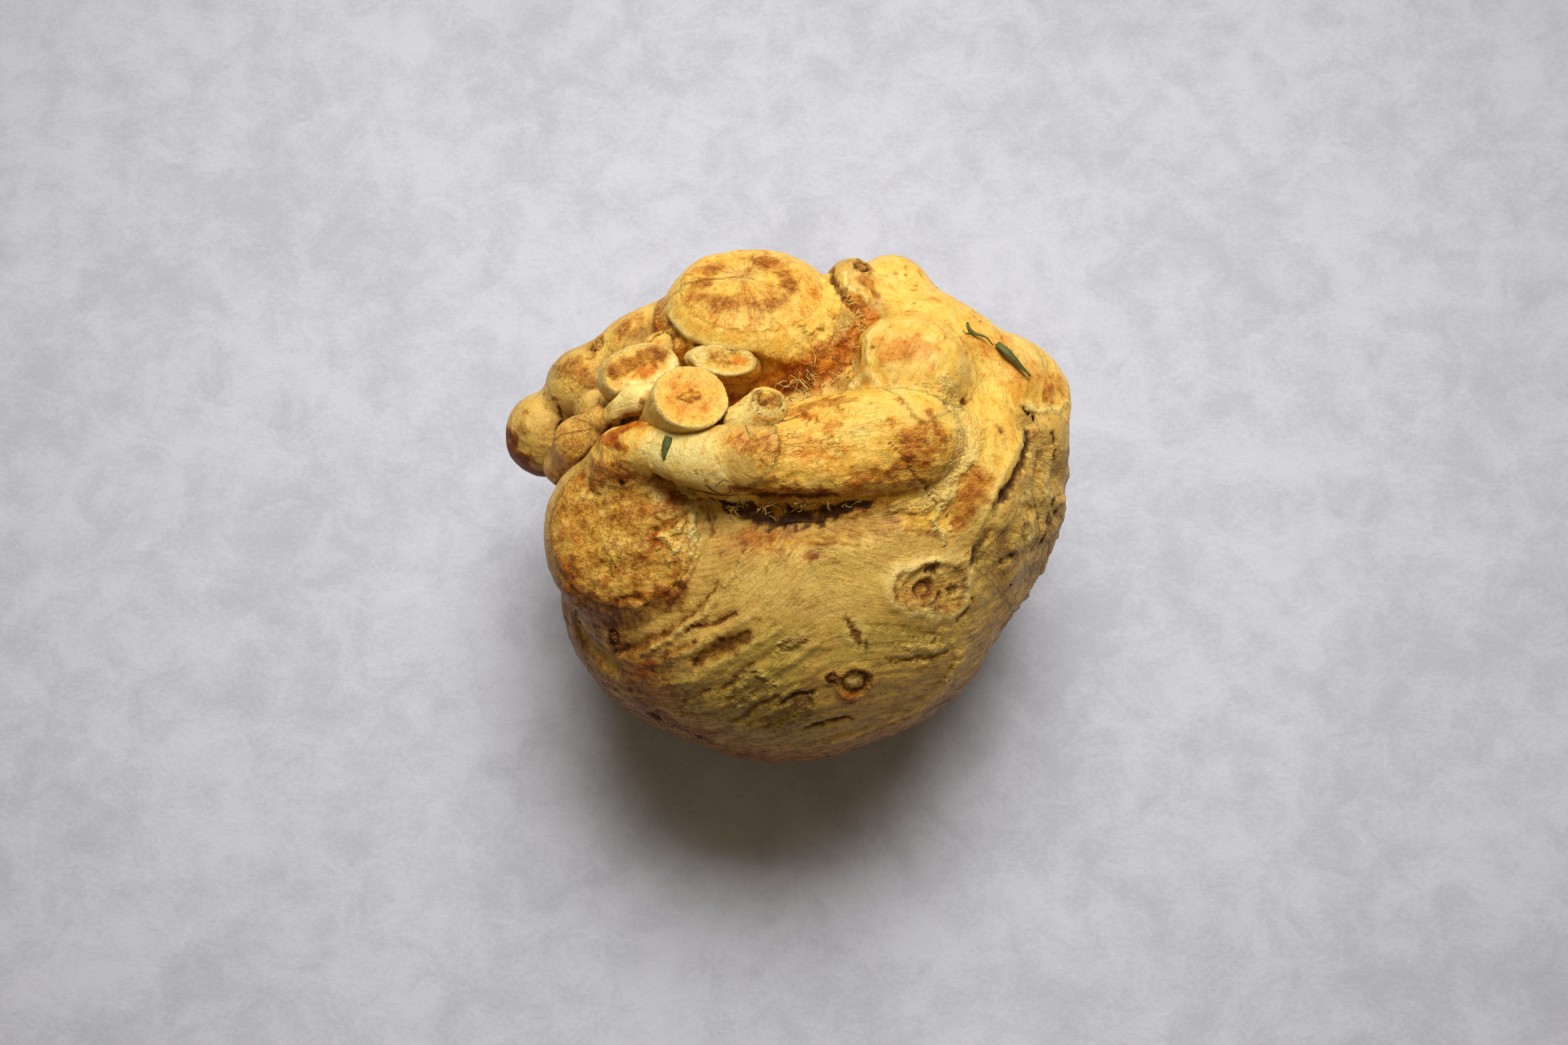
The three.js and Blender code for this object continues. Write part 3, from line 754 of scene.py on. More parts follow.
    Mark("scraped edge's dark", ((29, -41.4, 51.4, 0.8), (22, -44.6, 51.6, 1.1), (15.6, -46.6, 51.4, 0.7)),
         -0.7, paint={"dirt": 0.3, "stain": 0.5}),
    Mark("scraped edge's chip", ((35, -33.2, 61, 0.6), (32.6, -36.4, 58.8, 0.7)), 0.7, 0, 0.6,
         {"cream": 0.6}),
    Mark("lower line", ((4, -46.5, 60, 0.5), (9, -46, 60.4, 0.7), (14, -44.6, 60.6, 0.4)), -0.7,
         paint={"dirt": 0.85}),
    # the crumbly band between the ridge and the right shoulder
    Mark("crumbly band", ((31.6, 19.5, 84, 2.4), (33, 16, 82.4, 4.4), (36, 10.6, 80.6, 5.4),
                          (35.6, 4.1, 81, 5.2), (32.8, -1.1, 80.6, 4.2), (28.5, -5, 80, 2.6),
                          (22, -6.5, 80.4, 1.4)), 0.15, 0.1, 0.6, {"crumb": 0.9, "cream": 0.5, "gold": 0.7},
         clear=("green",)),
    Mark("brown patch", ((38.4, -0.6, 79, 3.6), (36, -5.4, 78.4, 3.2), (34.2, -9.4, 77.6, 1.8)),
         -0.1, 0.25, 0.35, {"stain": 0.8, "orange": 0.45}, {"cream": 0.3}, {"stain": 0.3},
         ("green", "crumb", "cream")),
    Mark("band pit a", ((36.5, 16.6, 78.6, 1.3),), -0.7, 0.2, 0.4, {"stain": 0.8, "dirt": 0.4}),
    Mark("band pit b", ((32, 13.9, 83, 1),), -0.6, 0.1, 0.4, {"stain": 0.8}),
    Mark("band eye", ((42.6, 11.8, 77, 1), (43.8, 9.8, 76.7, 0.8)), -0.5, 0.3, 0.2,
         {"stain": 0.7, "dirt": 0.3}),
    Mark("patch's torn edge", ((32.4, -3.2, 80.3, 0.6), (29.6, -8.8, 79.4, 0.7), (31.6, -12.6, 77.8, 0.5)),
         0.5, 0, 0.7, {"cream": 0.8, "crumb": 0.6}),
    Mark("lines by patch", ((24, -10.4, 80.4, 0.5), (30, -12, 78.4, 0.6)), -0.4, 0.2, 0.5, {"stain": 0.6}),
    # between the right shoulder and the flank: a pale ridge, hollows of earth beside it, knobs and pits
    Mark("shoulder line", ((49.4, 15.4, 70.4, 0.6), (47.7, 9.7, 73.6, 0.8), (44.4, 2.4, 76.8, 0.8),
                           (41.2, -4, 77.2, 0.8), (38.1, -10.4, 75.6, 0.7), (37.2, -15, 73.1, 0.5)),
         0.45, 0, 0.5, {"cream": 0.35}),
    Mark("shoulder groove", ((50.6, 12, 70.4, 0.8), (48.4, 5.6, 73.6, 1.1), (46.2, 0.6, 75.2, 1.3),
                             (43.8, -3.4, 75.8, 1.4)), -1, 0.15, 0.5, {"dirt": 0.85, "stain": 0.9}),
    Mark("hollow a", ((43.8, -2.7, 76.1, 1.4), (42.2, -5.4, 76, 1.3)), -0.5, 0, 0.7,
         {"dirt": 0.6, "green": 0.3}),
    Mark("hollow b", ((40.6, -10, 74.8, 0.9), (39.3, -12.6, 73.7, 1.6), (38, -14.9, 72.8, 1.2)), -0.6, 0, 0.6,
         {"dirt": 0.7}),
    Mark("smooth lump", ((43.4, -7.6, 74.4, 2),), 0.7, 0, 0.3, {"green": 0.5}),
    Mark("pale knob a", ((50.4, -5.4, 67.6, 2), (49.8, -8.4, 65.8, 1.7)), 1, 0, 0.4, {"cream": 0.45}),
    Mark("pale knob b", ((47.2, -11, 67.8, 1.9),), 0.9, 0, 0.4, {"cream": 0.4}),
    Mark("knob's shade", ((46, -13, 67.3, 0.9), (44, -14.4, 68.4, 0.8)), -0.6, 0, 0.5, {"dirt": 0.6}),
    Mark("flank line", ((51.6, -1, 68.4, 0.5), (52.4, -4.6, 63.4, 0.8), (51.2, -10, 60.2, 0.6)),
         -0.8, 0.2, 0.5, {"dirt": 0.6}),
    Mark("flank ridge", ((52.6, 6, 67, 1.2), (53.6, 1.4, 64.6, 1.5), (53.2, -3.4, 61.4, 1.3)), 0.7, 0, 0.6,
         {"cream": 0.25}),
    Mark("flank pit a", ((55.8, 0.3, 59.5, 1.3),), -1, 0.3, 0.4, {"dirt": 0.9}),
    Mark("flank pit b", ((57, -0.4, 56.1, 1),), -0.8, 0.2, 0.4, {"dirt": 0.8}),
    Mark("flank fleck a", ((51.4, 4, 69.5, 0.7),), -0.2, 0, 0.4, {"orange": 0.8, "stain": 0.5}),
    Mark("pit row a", ((38, -21.8, 67.8, 0.9),), -0.6, 0.15, 0.4, {"dirt": 0.75}),
    Mark("pit row b", ((36.5, -24.7, 67.5, 0.9),), -0.6, 0.15, 0.4, {"dirt": 0.65}),
    Mark("pit row c", ((35.1, -26.3, 67.8, 0.7),), -0.5, 0.1, 0.4, {"dirt": 0.6}),
    # the right shoot's cut end
    Mark("right end's stain", ((49, 26, 71, 6), (54, 25, 66.5, 5)), 0, 0, 0.6, {"stain": 0.1, "orange": 0.5}),
    Mark("right end's lip", ((48.3, 19.1, 70.4, 0.6), (52.1, 18.5, 66.7, 0.8), (56.2, 19, 63.3, 0.9),
                             (59.6, 22.1, 60.5, 0.6)), 0.35, 0, 0.6, {"cream": 0.7, "crumb": 0.3}),
    # Painted shadow under the right end's overhanging lip.
    Mark("shadow under the lip", ((50.3, 16.3, 68.2, 0.7), (52.4, 15.6, 64.8, 0.9), (55, 16.6, 62, 0.5)),
         -0.6, 0, 0.5, {"dirt": 0.8, "stain": 0.6}),
    Mark("crack below", ((52.1, 14.9, 65.7, 0.7), (53.6, 12.4, 63.2, 0.6), (55.2, 9.1, 61.5, 0.3)),
         -0.7, 0.15, 0.4, {"dirt": 0.8}),
    Mark("right end's dark", ((57, 24.5, 64, 2.4), (54.4, 21, 66.6, 1.2)), 0, 0, 0.7,
         {"stain": 0.5, "orange": 0.3}),
    # the inner shoot, the torn flap behind it and the back right lobes
    Mark("inner orange a", ((18.8, 27, 84.6, 2), (19.6, 24, 85, 1.8)), paint={"orange": 0.6, "stain": 0.2}),
    Mark("inner orange b", ((22.4, 24, 86, 2.4), (28.6, 25.4, 86.3, 2.8)), -0.1, 0, 0.7,
         {"stain": 0.2, "orange": 0.7}),
    Mark("inner edge", ((19.6, 32.4, 81.6, 0.5), (16.8, 28.6, 83.4, 0.6), (16.2, 24.8, 83.6, 0.6),
                        (17.2, 21.4, 83.2, 0.4)), 0.5, 0, 0.4, {"cream": 0.7}),
    Mark("pale wedge", ((13.6, 19.6, 79.4, 0.8), (16.4, 21.2, 82.4, 1.4), (18.4, 18.8, 83.6, 1.2)),
         0.3, 0, 0.3, {"cream": 0.9}, clear=("stain", "orange")),
    Mark("gap by flap", ((9.6, 48.4, 71.2, 0.6), (11, 43.6, 73, 0.9), (12.6, 39, 73.6, 0.9),
                         (15.4, 36, 73.4, 0.7)), -0.6, 0.2, 0.4, {"dirt": 0.5, "stain": 0.8}),
    Mark("flap's edge", ((12.2, 46.8, 73.6, 0.5), (13.2, 42.2, 75, 0.7), (16.6, 40, 74.4, 0.6)), 0.7, 0, 0.5,
         {"cream": 0.8}),
    Mark("flap's middle", ((16.8, 44.2, 74.2, 1.8), (18.8, 41.4, 73.8, 1.4)), -0.3, 0, 0.5,
         {"stain": 0.75, "orange": 0.35}),
    Mark("brown by flap", ((18.6, 37.4, 75.4, 1.8), (21.4, 34.6, 78, 1.4)), 0, 0, 0.8, {"stain": 0.6}),
    Mark("shoulder wash", ((38, 30.4, 77.4, 3), (44, 29, 72.8, 3.4)), 0, 0, 0.7,
         {"orange": 0.3, "stain": 0.3}),
    # the far left lobes
    Mark("far left dark", ((-58, 16.4, 53, 3.6), (-54.4, 11.4, 50, 3.2), (-50, 11, 47, 2.4)), 0, 0, 0.6,
         {"dirt": 0.4, "stain": 0.9, "orange": 0.8}),
    Mark("far left spot", ((-55.6, 17.6, 57.4, 2),), 0.3, 0, 0.5, {"stain": 0.7, "dirt": 0.3}),
    Mark("far left rim", ((-48.2, 14.6, 57, 0.5), (-47, 18.4, 58.4, 0.6), (-47.2, 22, 60, 0.5)), -0.6,
         paint={"dirt": 0.7, "stain": 0.6}),
    Mark("upper left wash", ((-45, 29, 63.8, 3), (-40, 24, 66, 2.2)), 0, 0, 0.7,
         {"stain": 0.7, "orange": 0.3, "crumb": 0.5}),
    Mark("back left brown", ((-33.6, 35.6, 67, 2.6), (-28, 34, 70.6, 2)), 0, 0, 0.8, {"stain": 0.5}),
    Mark("back left fold", ((-27.4, 28, 76, 0.5), (-25.2, 32.4, 77.2, 0.7), (-22.6, 36, 75.6, 0.5)),
         -0.6, 0.2, 0.5, {"dirt": 0.6}),
)


def on_shoot(shoot, points, edge=1.0):
    """A shoot's own coordinates, and how much each point is on its cut, on its rim and on its side."""
    whole, past = shoot.parts(points)
    own = shoot.own(points)
    on = 1 - step_up(0.5, 1.6, np.abs(soft_max(whole, past, shoot.edge)))
    cut = on * step_up(-0.7, 0.5, past - whole)
    rim = on * hump(past - whole, 0, edge)
    return own, cut, rim, on - cut


def shoot_depth(shoot, points):
    """How far each point is past the shoot's cut; less than 0 below it."""
    return shoot.parts(points)[1]


def lay_fibres(skin, where, along, depth, across):
    """Lays fibres over the points where there are any: their run, their depth and their side by side."""
    chosen = where > 0.5
    skin.grain[chosen] = np.stack([along, depth, across], 1)[chosen]


def dress_body(skin):
    """The body's own skin: winding wrinkles, green and brown washes, painted shade low down, and small pores.
    """
    points = skin.points
    fibres = body_fibres(points)
    skin.grain = fibres
    x, y, z = (points - np.array(BODY_CENTRE)).T
    polar = np.degrees(np.arctan2(np.hypot(x, y), z))
    azimuth = np.degrees(np.arctan2(y, x))
    bare = 1 - step_up(1, 4, np.abs(body_distance(points)))
    left = step_up(44, 62, polar) * hump(azimuth, -128, 50)
    right = step_up(48, 62, polar) * hump(azimuth, -48, 34)
    low = step_up(78, 100, polar)
    back = step_up(60, 80, polar) * (1 - step_up(-150, -120, azimuth) * (1 - step_up(-30, 10, azimuth)))
    wrinkled = bare * np.clip(0.15 + 0.8 * left + 0.5 * right + 0.6 * low + 0.5 * back, 0, 1)
    wide = rough(fibres, (17, 17, 3.1), 21, 2)
    narrow = rough(fibres, (10, 10, 1.7), 22, 2)
    skin.lift += wrinkled * (0.45 * (0.35 - np.abs(wide) * 1.3) + 0.2 * narrow)
    furrow = step_up(0.78, 0.97, 1 - np.abs(wide)) * wrinkled
    skin.lift -= 0.3 * furrow
    skin.tint(furrow, stain=0.3, green=0.2)
    skin.tint(wrinkled, lines=0.5)
    ribs = rough(fibres, (11, 11, 1.1), 23, 2)
    skin.lift += 0.1 * wrinkled * ribs
    skin.tint(wrinkled * step_up(0.2, 0.8, -ribs), stain=0.12)
    patchy = rough(points, 17, 31, 3)
    front = hump(azimuth, -88, 75) * step_up(28, 46, polar) * (1 - step_up(98, 120, polar))
    skin.tint(bare * front * step_up(-0.3, 0.6, patchy), green=0.6)
    skin.tint(bare * (1 - front) * step_up(0, 0.8, patchy), green=0.35)
    # Painted shade: darker towards the bottom.
    skin.tint(bare * step_up(60, 104, polar), stain=0.75, dirt=0.1)
    skin.tint(bare * step_up(76, 100, polar) * hump(azimuth, -105, 45), stain=0.5, orange=0.2, dirt=0.15)
    # Painted shade: darker low on the left side.
    skin.tint(bare * left * step_up(50, 70, polar), stain=0.35, dirt=0.1)
    skin.tint(bare * step_up(0.15, 0.7, rough(points, 7, 32, 3)), stain=0.25)
    skin.tint(bare * back * step_up(-0.2, 0.6, rough(fibres, (14, 14, 4), 33, 2)), stain=0.4)


def dress_flank(skin):
    """The right flank, where side roots run down fused to the body, with gaps of earth between them."""
    points = skin.points
    x, y, _ = (points - np.array(BODY_CENTRE)).T
    azimuth = np.degrees(np.arctan2(y, x))
    where = hump(azimuth, 0, 30) * (1 - step_up(1, 4, np.abs(body_distance(points))))
    where = where * step_up(8, 22, points[:, 2]) * (1 - step_up(71, 77, points[:, 2]))
    standing = np.stack([np.radians(azimuth) * 58, points[:, 2], np.zeros(len(points))], 1)
    wander = rough(points, 14, 41, 2)
    standing[:, 0] += 3 * wander
    roots = rough(standing, (7, 17, 9), 42, 2)
    knobs = rough(points, 6, 43, 2)
    skin.lift += where * (0.9 * (0.5 - np.abs(roots) * 1.6) + 0.45 * knobs)
    gap = where * step_up(0.55, 0.95, 1 - np.abs(roots)) * step_up(-0.3, 0.4, rough(points, 8, 44, 2))
    skin.lift -= 0.8 * gap
    skin.wipe(where * 0.8, "green", "stain")
    skin.tint(gap, dirt=0.35, stain=0.5)
    skin.tint(where, lines=0.6)
    skin.tint(where * step_up(-0.2, 0.6, -roots), cream=0.3)
    skin.tint(where * step_up(0, 0.7, knobs), cream=0.35)
    skin.tint(where * step_up(0.1, 0.7, rough(points, 4, 45, 2)), stain=0.4)
    lay_fibres(skin, where, standing[:, 1], standing[:, 2], standing[:, 0])


def dress_left_shoot(skin):
    """A wide golden-brown cut, worn and wrinkled: a torn pale edge on its right, smooth and brown below."""
    points = skin.points
    own, cut, rim, side = on_shoot(LEFT, points, 0.9)
    x = points[:, 0]
    neck = on_shoot(LEFT_TOP, points)[3] * step_up(-40, -36, x) * (1 - step_up(-25, -22, x))
    right = step_up(-1, 7, -own[:, 1])
    turn = np.arctan2(own[:, 1], own[:, 0])
    lay_fibres(skin, side, own[:, 2], own[:, 0] * 0, turn * 17)
    lay_fibres(skin, cut, own[:, 0] * 4, own[:, 2] * 4, own[:, 1] * 0.6)
    top = np.clip(cut + neck, 0, 1)
    skin.wipe(top, "green", "dirt", "stain", "cream")
    skin.lift += top * (0.4 * rough(points, 6, 51, 3) + 0.16 * rough(points, 3, 52, 2))
    skin.tint(top, gold=0.9, stain=0.5, orange=0.05, lines=0.35)
    skin.tint(top * step_up(-0.4, 0.8, rough(points, 8, 54, 3)), stain=0.25, orange=0.15)
    skin.tint(top * step_up(0, 0.8, rough(points, 5, 57, 3)), cream=0.45)
    skin.tint(top * step_up(0.35, 0.8, rough(points, 3, 55, 3)), orange=0.45)
    torn = rough(points, 2.6, 53, 3)
    skin.lift += rim * right * (0.35 + 0.8 * torn)
    edge = rim * right * step_up(-0.5, 0.3, torn)
    skin.wipe(edge, "stain", "orange")
    skin.tint(edge, gold=1, cream=0.5, crumb=0.4)
    skin.tint(rim * (1 - right), stain=0.2, crumb=0.2)
    grey = side * step_up(-0.2, 0.6, right * 2 - 1) * step_up(-14, -6, own[:, 0])
    skin.wipe(grey, "stain", "orange")
    skin.tint(grey, green=0.35, stain=0.3)
    low = cut * step_up(9, 16, -own[:, 0]) + side * step_up(2, 9, -own[:, 0])
    skin.wipe(low * 0.8, "green")
    skin.tint(low, stain=0.45, dirt=0.08)
    skin.tint(low * step_up(-0.7, 0.4, rough(points, 6, 56, 2)), stain=0.3)
    left_low = cut * step_up(2, 10, own[:, 1]) * step_up(0, 8, -own[:, 0])
    skin.tint(left_low * step_up(-0.4, 0.6, rough(points, 5, 58, 3)), orange=0.5, stain=0.3)


LEFT_MARKS = (
    Mark("deep crease", ((-18.6, -6.4, 77.5, 0.6), (-22.4, -8, 77, 1), (-25.6, -9.8, 76.4, 0.9),
                         (-27.8, -11, 75.8, 0.4)), -0.9, 0.4, 0.5, {"stain": 0.9}),
    Mark("crease's branch", ((-22, -8, 77, 0.5), (-23.6, -11.6, 76.4, 0.6)), -0.7, paint={"stain": 0.6}),
    Mark("torn ridge", ((-20.4, -9, 77, 0.8), (-23.4, -11, 76.8, 1.1), (-21.6, -14, 76, 0.9)), 0.6, 0, 0.9,
         {"cream": 0.35, "crumb": 0.8}, clear=("stain",)),
    Mark("bulge over crease", ((-21.6, -3.6, 77.6, 2.2), (-26.6, -6.2, 76.8, 1.8)), 0.7, 0, 0.4,
         {"stain": 0.3, "orange": 0.4}),
    Mark("orange at crease", ((-26, -11.6, 76, 1.2), (-24.4, -12.4, 76, 0.8)), 0.1, 0, 0.6,
         {"orange": 1, "stain": 0.3}),
    Mark("orange at top", ((-22.6, -0.4, 78.6, 0.8), (-21, -2.6, 78.4, 0.6)), paint={"orange": 0.8}),
    Mark("worn pit a", ((-32.6, -0.6, 77.6, 0.7),), -0.5, 0.2, 0.4, {"dirt": 0.7}),
    Mark("worn pit b", ((-33.9, -6.4, 74.6, 0.5),), -0.3, paint={"dirt": 0.9}),
    Mark("worn groove", ((-33.4, -4.6, 75.4, 0.4), (-32, -2.6, 76.4, 0.4)), -0.3, paint={"dirt": 0.6}),
    Mark("rough head", ((-39, 1.6, 76, 2.6), (-33, 3.4, 78, 2.4), (-29, 1.6, 79, 1.6)), 0.15, 0, 0.8,
         {"stain": 0.2, "crumb": 0.5, "orange": 0.4}),
    Mark("golden head", ((-37, 2, 76, 2.8), (-31.4, 3.6, 78, 3)), 0.1, 0, 0.8,
         {"gold": 1, "stain": 0.25, "orange": 0.4}, clear=("dirt", "cream")),
    Mark("brown top", ((-34, 9, 80.4, 2.8), (-30, 9.4, 80.8, 3), (-27, 8.4, 81, 1.8)), 0, 0, 0.8,
         {"stain": 0.75, "orange": 0.9}),
    Mark("torn crest", ((-26, 7.4, 81, 1), (-23.4, 3.4, 80, 1.2), (-20.8, 0, 79, 1.4),
                        (-18.4, -2.6, 78.4, 1.4), (-18, -7, 77.6, 1), (-18.6, -11.5, 76.6, 0.6)), 0.8, 0, 0.9,
         {"gold": 1, "cream": 0.6, "crumb": 0.6}, clear=("stain", "orange", "dirt")),
    Mark("pale slope", ((-27.6, 1, 78, 2.6), (-24.6, -3, 77.6, 2)), 0.2, 0, 0.8, {"cream": 0.6}),
    Mark("pale patch", ((-36.6, 1, 76, 2.4), (-35.4, -4, 74.6, 2.6)), 0, 0, 0.7, {"cream": 0.3}),
    Mark("dark low left", ((-44.6, -14, 68, 2.4), (-43.4, -18.6, 66.6, 3), (-39.2, -22.8, 65.4, 3.4),
                           (-34, -26, 65.6, 3)), 0, 0, 0.7, {"stain": 0.5, "orange": 0.15}),
    Mark("low knob", ((-43.8, -18.6, 64.6, 1.5),), 0.8, 0, 0.5, {"stain": 0.8, "orange": 0.3}),
    Mark("low knob b", ((-41.4, -21.6, 63.4, 1.1),), 0.6, 0, 0.5, {"stain": 0.7}),
    Mark("low fold", ((-33.6, -22.6, 69.8, 0.7), (-29.4, -22, 71.6, 0.8), (-27, -22.8, 71.6, 0.5)),
         -0.5, 0.3, 0.5, {"stain": 0.8, "dirt": 0.15}),
    Mark("smooth scar", ((-24.6, -22.8, 72.6, 2.2), (-21.4, -21.8, 74, 2.5)), 0.35, 0.1, 0.2,
         {"stain": 0.8, "orange": 0.3, "dirt": 0.08}, {"stain": 0.5}, {"stain": 0.8, "dirt": 0.3},
         ("cream", "green")),
    Mark("smooth scar's heart", ((-23.6, -22.8, 73, 1.1), (-22.4, -22.2, 73.4, 1)), 0.15, 0.1, 0.4,
         {"orange": 0.5}, {"dirt": 0.4}),
    Mark("side line", ((-15.6, -6.6, 78, 0.4), (-14.2, -10.4, 78, 0.5), (-15.2, -13.6, 77.6, 0.35)),
         -0.3, 0.2, 0.4, {"stain": 0.8, "orange": 0.4}),
)
# Short wrinkles side by side on the left shoot's cut: x and y of each one's upper end, and its length.
SHORT_WRINKLES = (
    (-28.2, -11.8, 3.4), (-29.3, -12.4, 4.2), (-30.4, -12, 3.6), (-31.4, -12.8, 4.4), (-32.4, -13.4, 3.2),
    (-33.6, -13, 4.6), (-34.8, -14.2, 3), (-27.4, -14.6, 2.6), (-36.4, -12.6, 3), (-30, -17.6, 2.4),
)


def wrinkle_marks():
    """The short wrinkles as marks, leaning a little outwards as they come down."""
    for count, (x, y, length) in enumerate(SHORT_WRINKLES):
        lean = 0.12 * (x + 31)
        stops = ((x, y, 74.5, 0.25), (x + lean * 0.5, y - length / 2, 74, 0.5),
                 (x + lean, y - length, 73, 0.3))
        yield Mark(f"short wrinkle {count + 1}", stops, -0.4, 0.3, 0.3, {"stain": 0.55})


# The brown ring on the back shoot's cut: ways round it in degrees, its radius each way, and its strength.
BACK_RING = (
    (-180, -150, -120, -90, -60, -30, 0, 35, 65, 90, 125, 150, 180),
    (8.3, 9.8, 8.6, 6.8, 9.8, 9, 9.2, 7.3, 7, 6, 6, 6, 8.3),
    (1, 1, 1, 0.8, 0.7, 0.7, 1, 1, 0.7, 0.2, 0.1, 0.5, 1),
)


def dress_back_shoot(skin):
    """A pale cut with a brown ring and radial lines, a crisp rim with painted shade under it, and a fibrous
    wall down to the crown.
    """
    points = skin.points
    own, cut, _, side = on_shoot(BACK, points)
    flat = own[:, :2] - np.array([-1.8, 0.6])  # from the ring's middle
    radius = np.hypot(flat[:, 0], flat[:, 1])
    turn = np.arctan2(flat[:, 1], flat[:, 0])
    pale = np.hypot(own[:, 0] + 2.4, own[:, 1] - 2)
    around = np.arctan2(own[:, 1], own[:, 0])
    lay_fibres(skin, side, own[:, 2] * 1.5, own[:, 0] * 0, around * 13)
    lay_fibres(skin, cut, radius, own[:, 2], turn * 8.5)
    skin.wipe(cut + side, "green", "dirt", "stain")
    skin.tint(cut + side, gold=1)
    uneven = 1.5 * rough(points, 5, 61, 3)
    places, strengths = (np.interp(np.degrees(turn), BACK_RING[0], values) for values in BACK_RING[1:])
    ring = hump(radius + 0.4 * uneven, places, 2.5) * strengths
    rays = rough(np.stack([radius, turn * 9, turn * 0], 1), (6, 0.9, 1), 62, 2)
    low_left = step_up(-0.1, 0.4, -np.sin(around)) * step_up(-0.35, 0.15, -np.cos(around + 0.1))
    depth = -shoot_depth(BACK, points)
    near = side * (1 - step_up(2.8, 3.4, depth)) * low_left
    skin.lift += 0.3 * near
    skin.tint(cut, lines=0.12)
    skin.tint(cut * ring, stain=0.8, orange=0.15)
    skin.tint(cut * ring * step_up(-0.5, 0.5, rays), stain=0.45, dirt=0.12)
    skin.tint(cut * (1 - step_up(2, 6.5, pale + uneven)), cream=0.5)
    skin.tint(cut * step_up(-0.2, 0.8, rough(points, 7, 69, 3)), stain=0.35, orange=0.5)
    skin.tint(cut * step_up(11, 14, radius) * step_up(0.1, 0.8, rough(points, 4, 63, 3)), orange=0.3,
              stain=0.2)
    skin.tint(cut * step_up(11, 14, radius) * (1 - step_up(-0.2, 0.6, np.sin(turn))), orange=0.35)
    flecks = step_up(0.62, 0.85, rough(points, 1.7, 64, 2))
    skin.tint(cut * flecks, orange=0.85)
    skin.lift += cut * (0.07 * np.cos(radius * 2.1 + uneven) * step_up(3, 6, radius) + 0.2 * rays * ring)
    skin.lift += cut * 0.25 * rough(points, 6, 65, 2)
    lip = side * hump(depth, 2.9, 0.7) * low_left
    skin.lift += lip * (0.4 + 0.3 * rough(points, 4, 66, 2))
    skin.tint(lip, cream=0.8)
    # Painted shadow: a dark line just under the lip.
    skin.tint(side * hump(depth, 4, 0.6) * low_left, dirt=0.5, stain=0.8)
    soft = hump(own[:, 0], 17, 9) + hump(around, -1, 0.5)
    skin.lift -= 0.9 * np.clip(soft, 0, 1) * on_shoot(BACK, points, 2.4)[2]
    wall = side * step_up(-0.9, 0.3, -np.sin(around + 0.4)) * step_up(2.5, 5, depth)
    down = step_up(3, 8, depth)
    threads = rough(skin.grain, (9, 9, 1.4), 67, 2)
    skin.lift += wall * (0.2 * threads + 0.25 * rough(points, 3, 68, 3))
    skin.tint(wall * down, stain=0.4, orange=0.9)
    skin.tint(wall, lines=0.5, crumb=0.3)
    skin.tint(wall * down * step_up(-0.3, 0.5, -threads), stain=0.5, orange=0.4)


def dress_ridge(skin):
    """A long cut, brown and fibrous lengthwise, with orange spots and a brown lower edge."""
    points = skin.points
    own, cut, rim, side = on_shoot(RIDGE, points, 1.2)
    around = np.arctan2(own[:, 1], own[:, 2] + 4)
    lay_fibres(skin, cut + side, own[:, 0], own[:, 0] * 0, around * 15)
    skin.wipe(cut + side, "green", "dirt", "stain")
    skin.tint(cut + side, gold=1)
    begun = step_up(-20, -14, own[:, 0])
    streaks = rough(skin.grain, (11, 11, 1.5), 71, 3)
    worn = rough(points, (9, 5, 5), 72, 3)
    skin.lift += (cut + side) * begun * (0.15 * streaks + 0.25 * worn)
    skin.tint(cut * begun * step_up(-0.2, 0.8, streaks * 0.4 + worn * 0.6), stain=0.1, orange=0.25)
    skin.tint(cut * begun * step_up(0.1, 0.8, -worn), cream=0.5)
    skin.tint(side * begun * step_up(-1, 3, -own[:, 1]), stain=0.5, orange=0.2, lines=0.5)
    skin.tint((cut + side) * (1 - begun), cream=0.9)
    skin.tint(cut * begun, lines=0.15)
    skin.lift += rim * 0.25 * rough(points, 3, 73, 2)


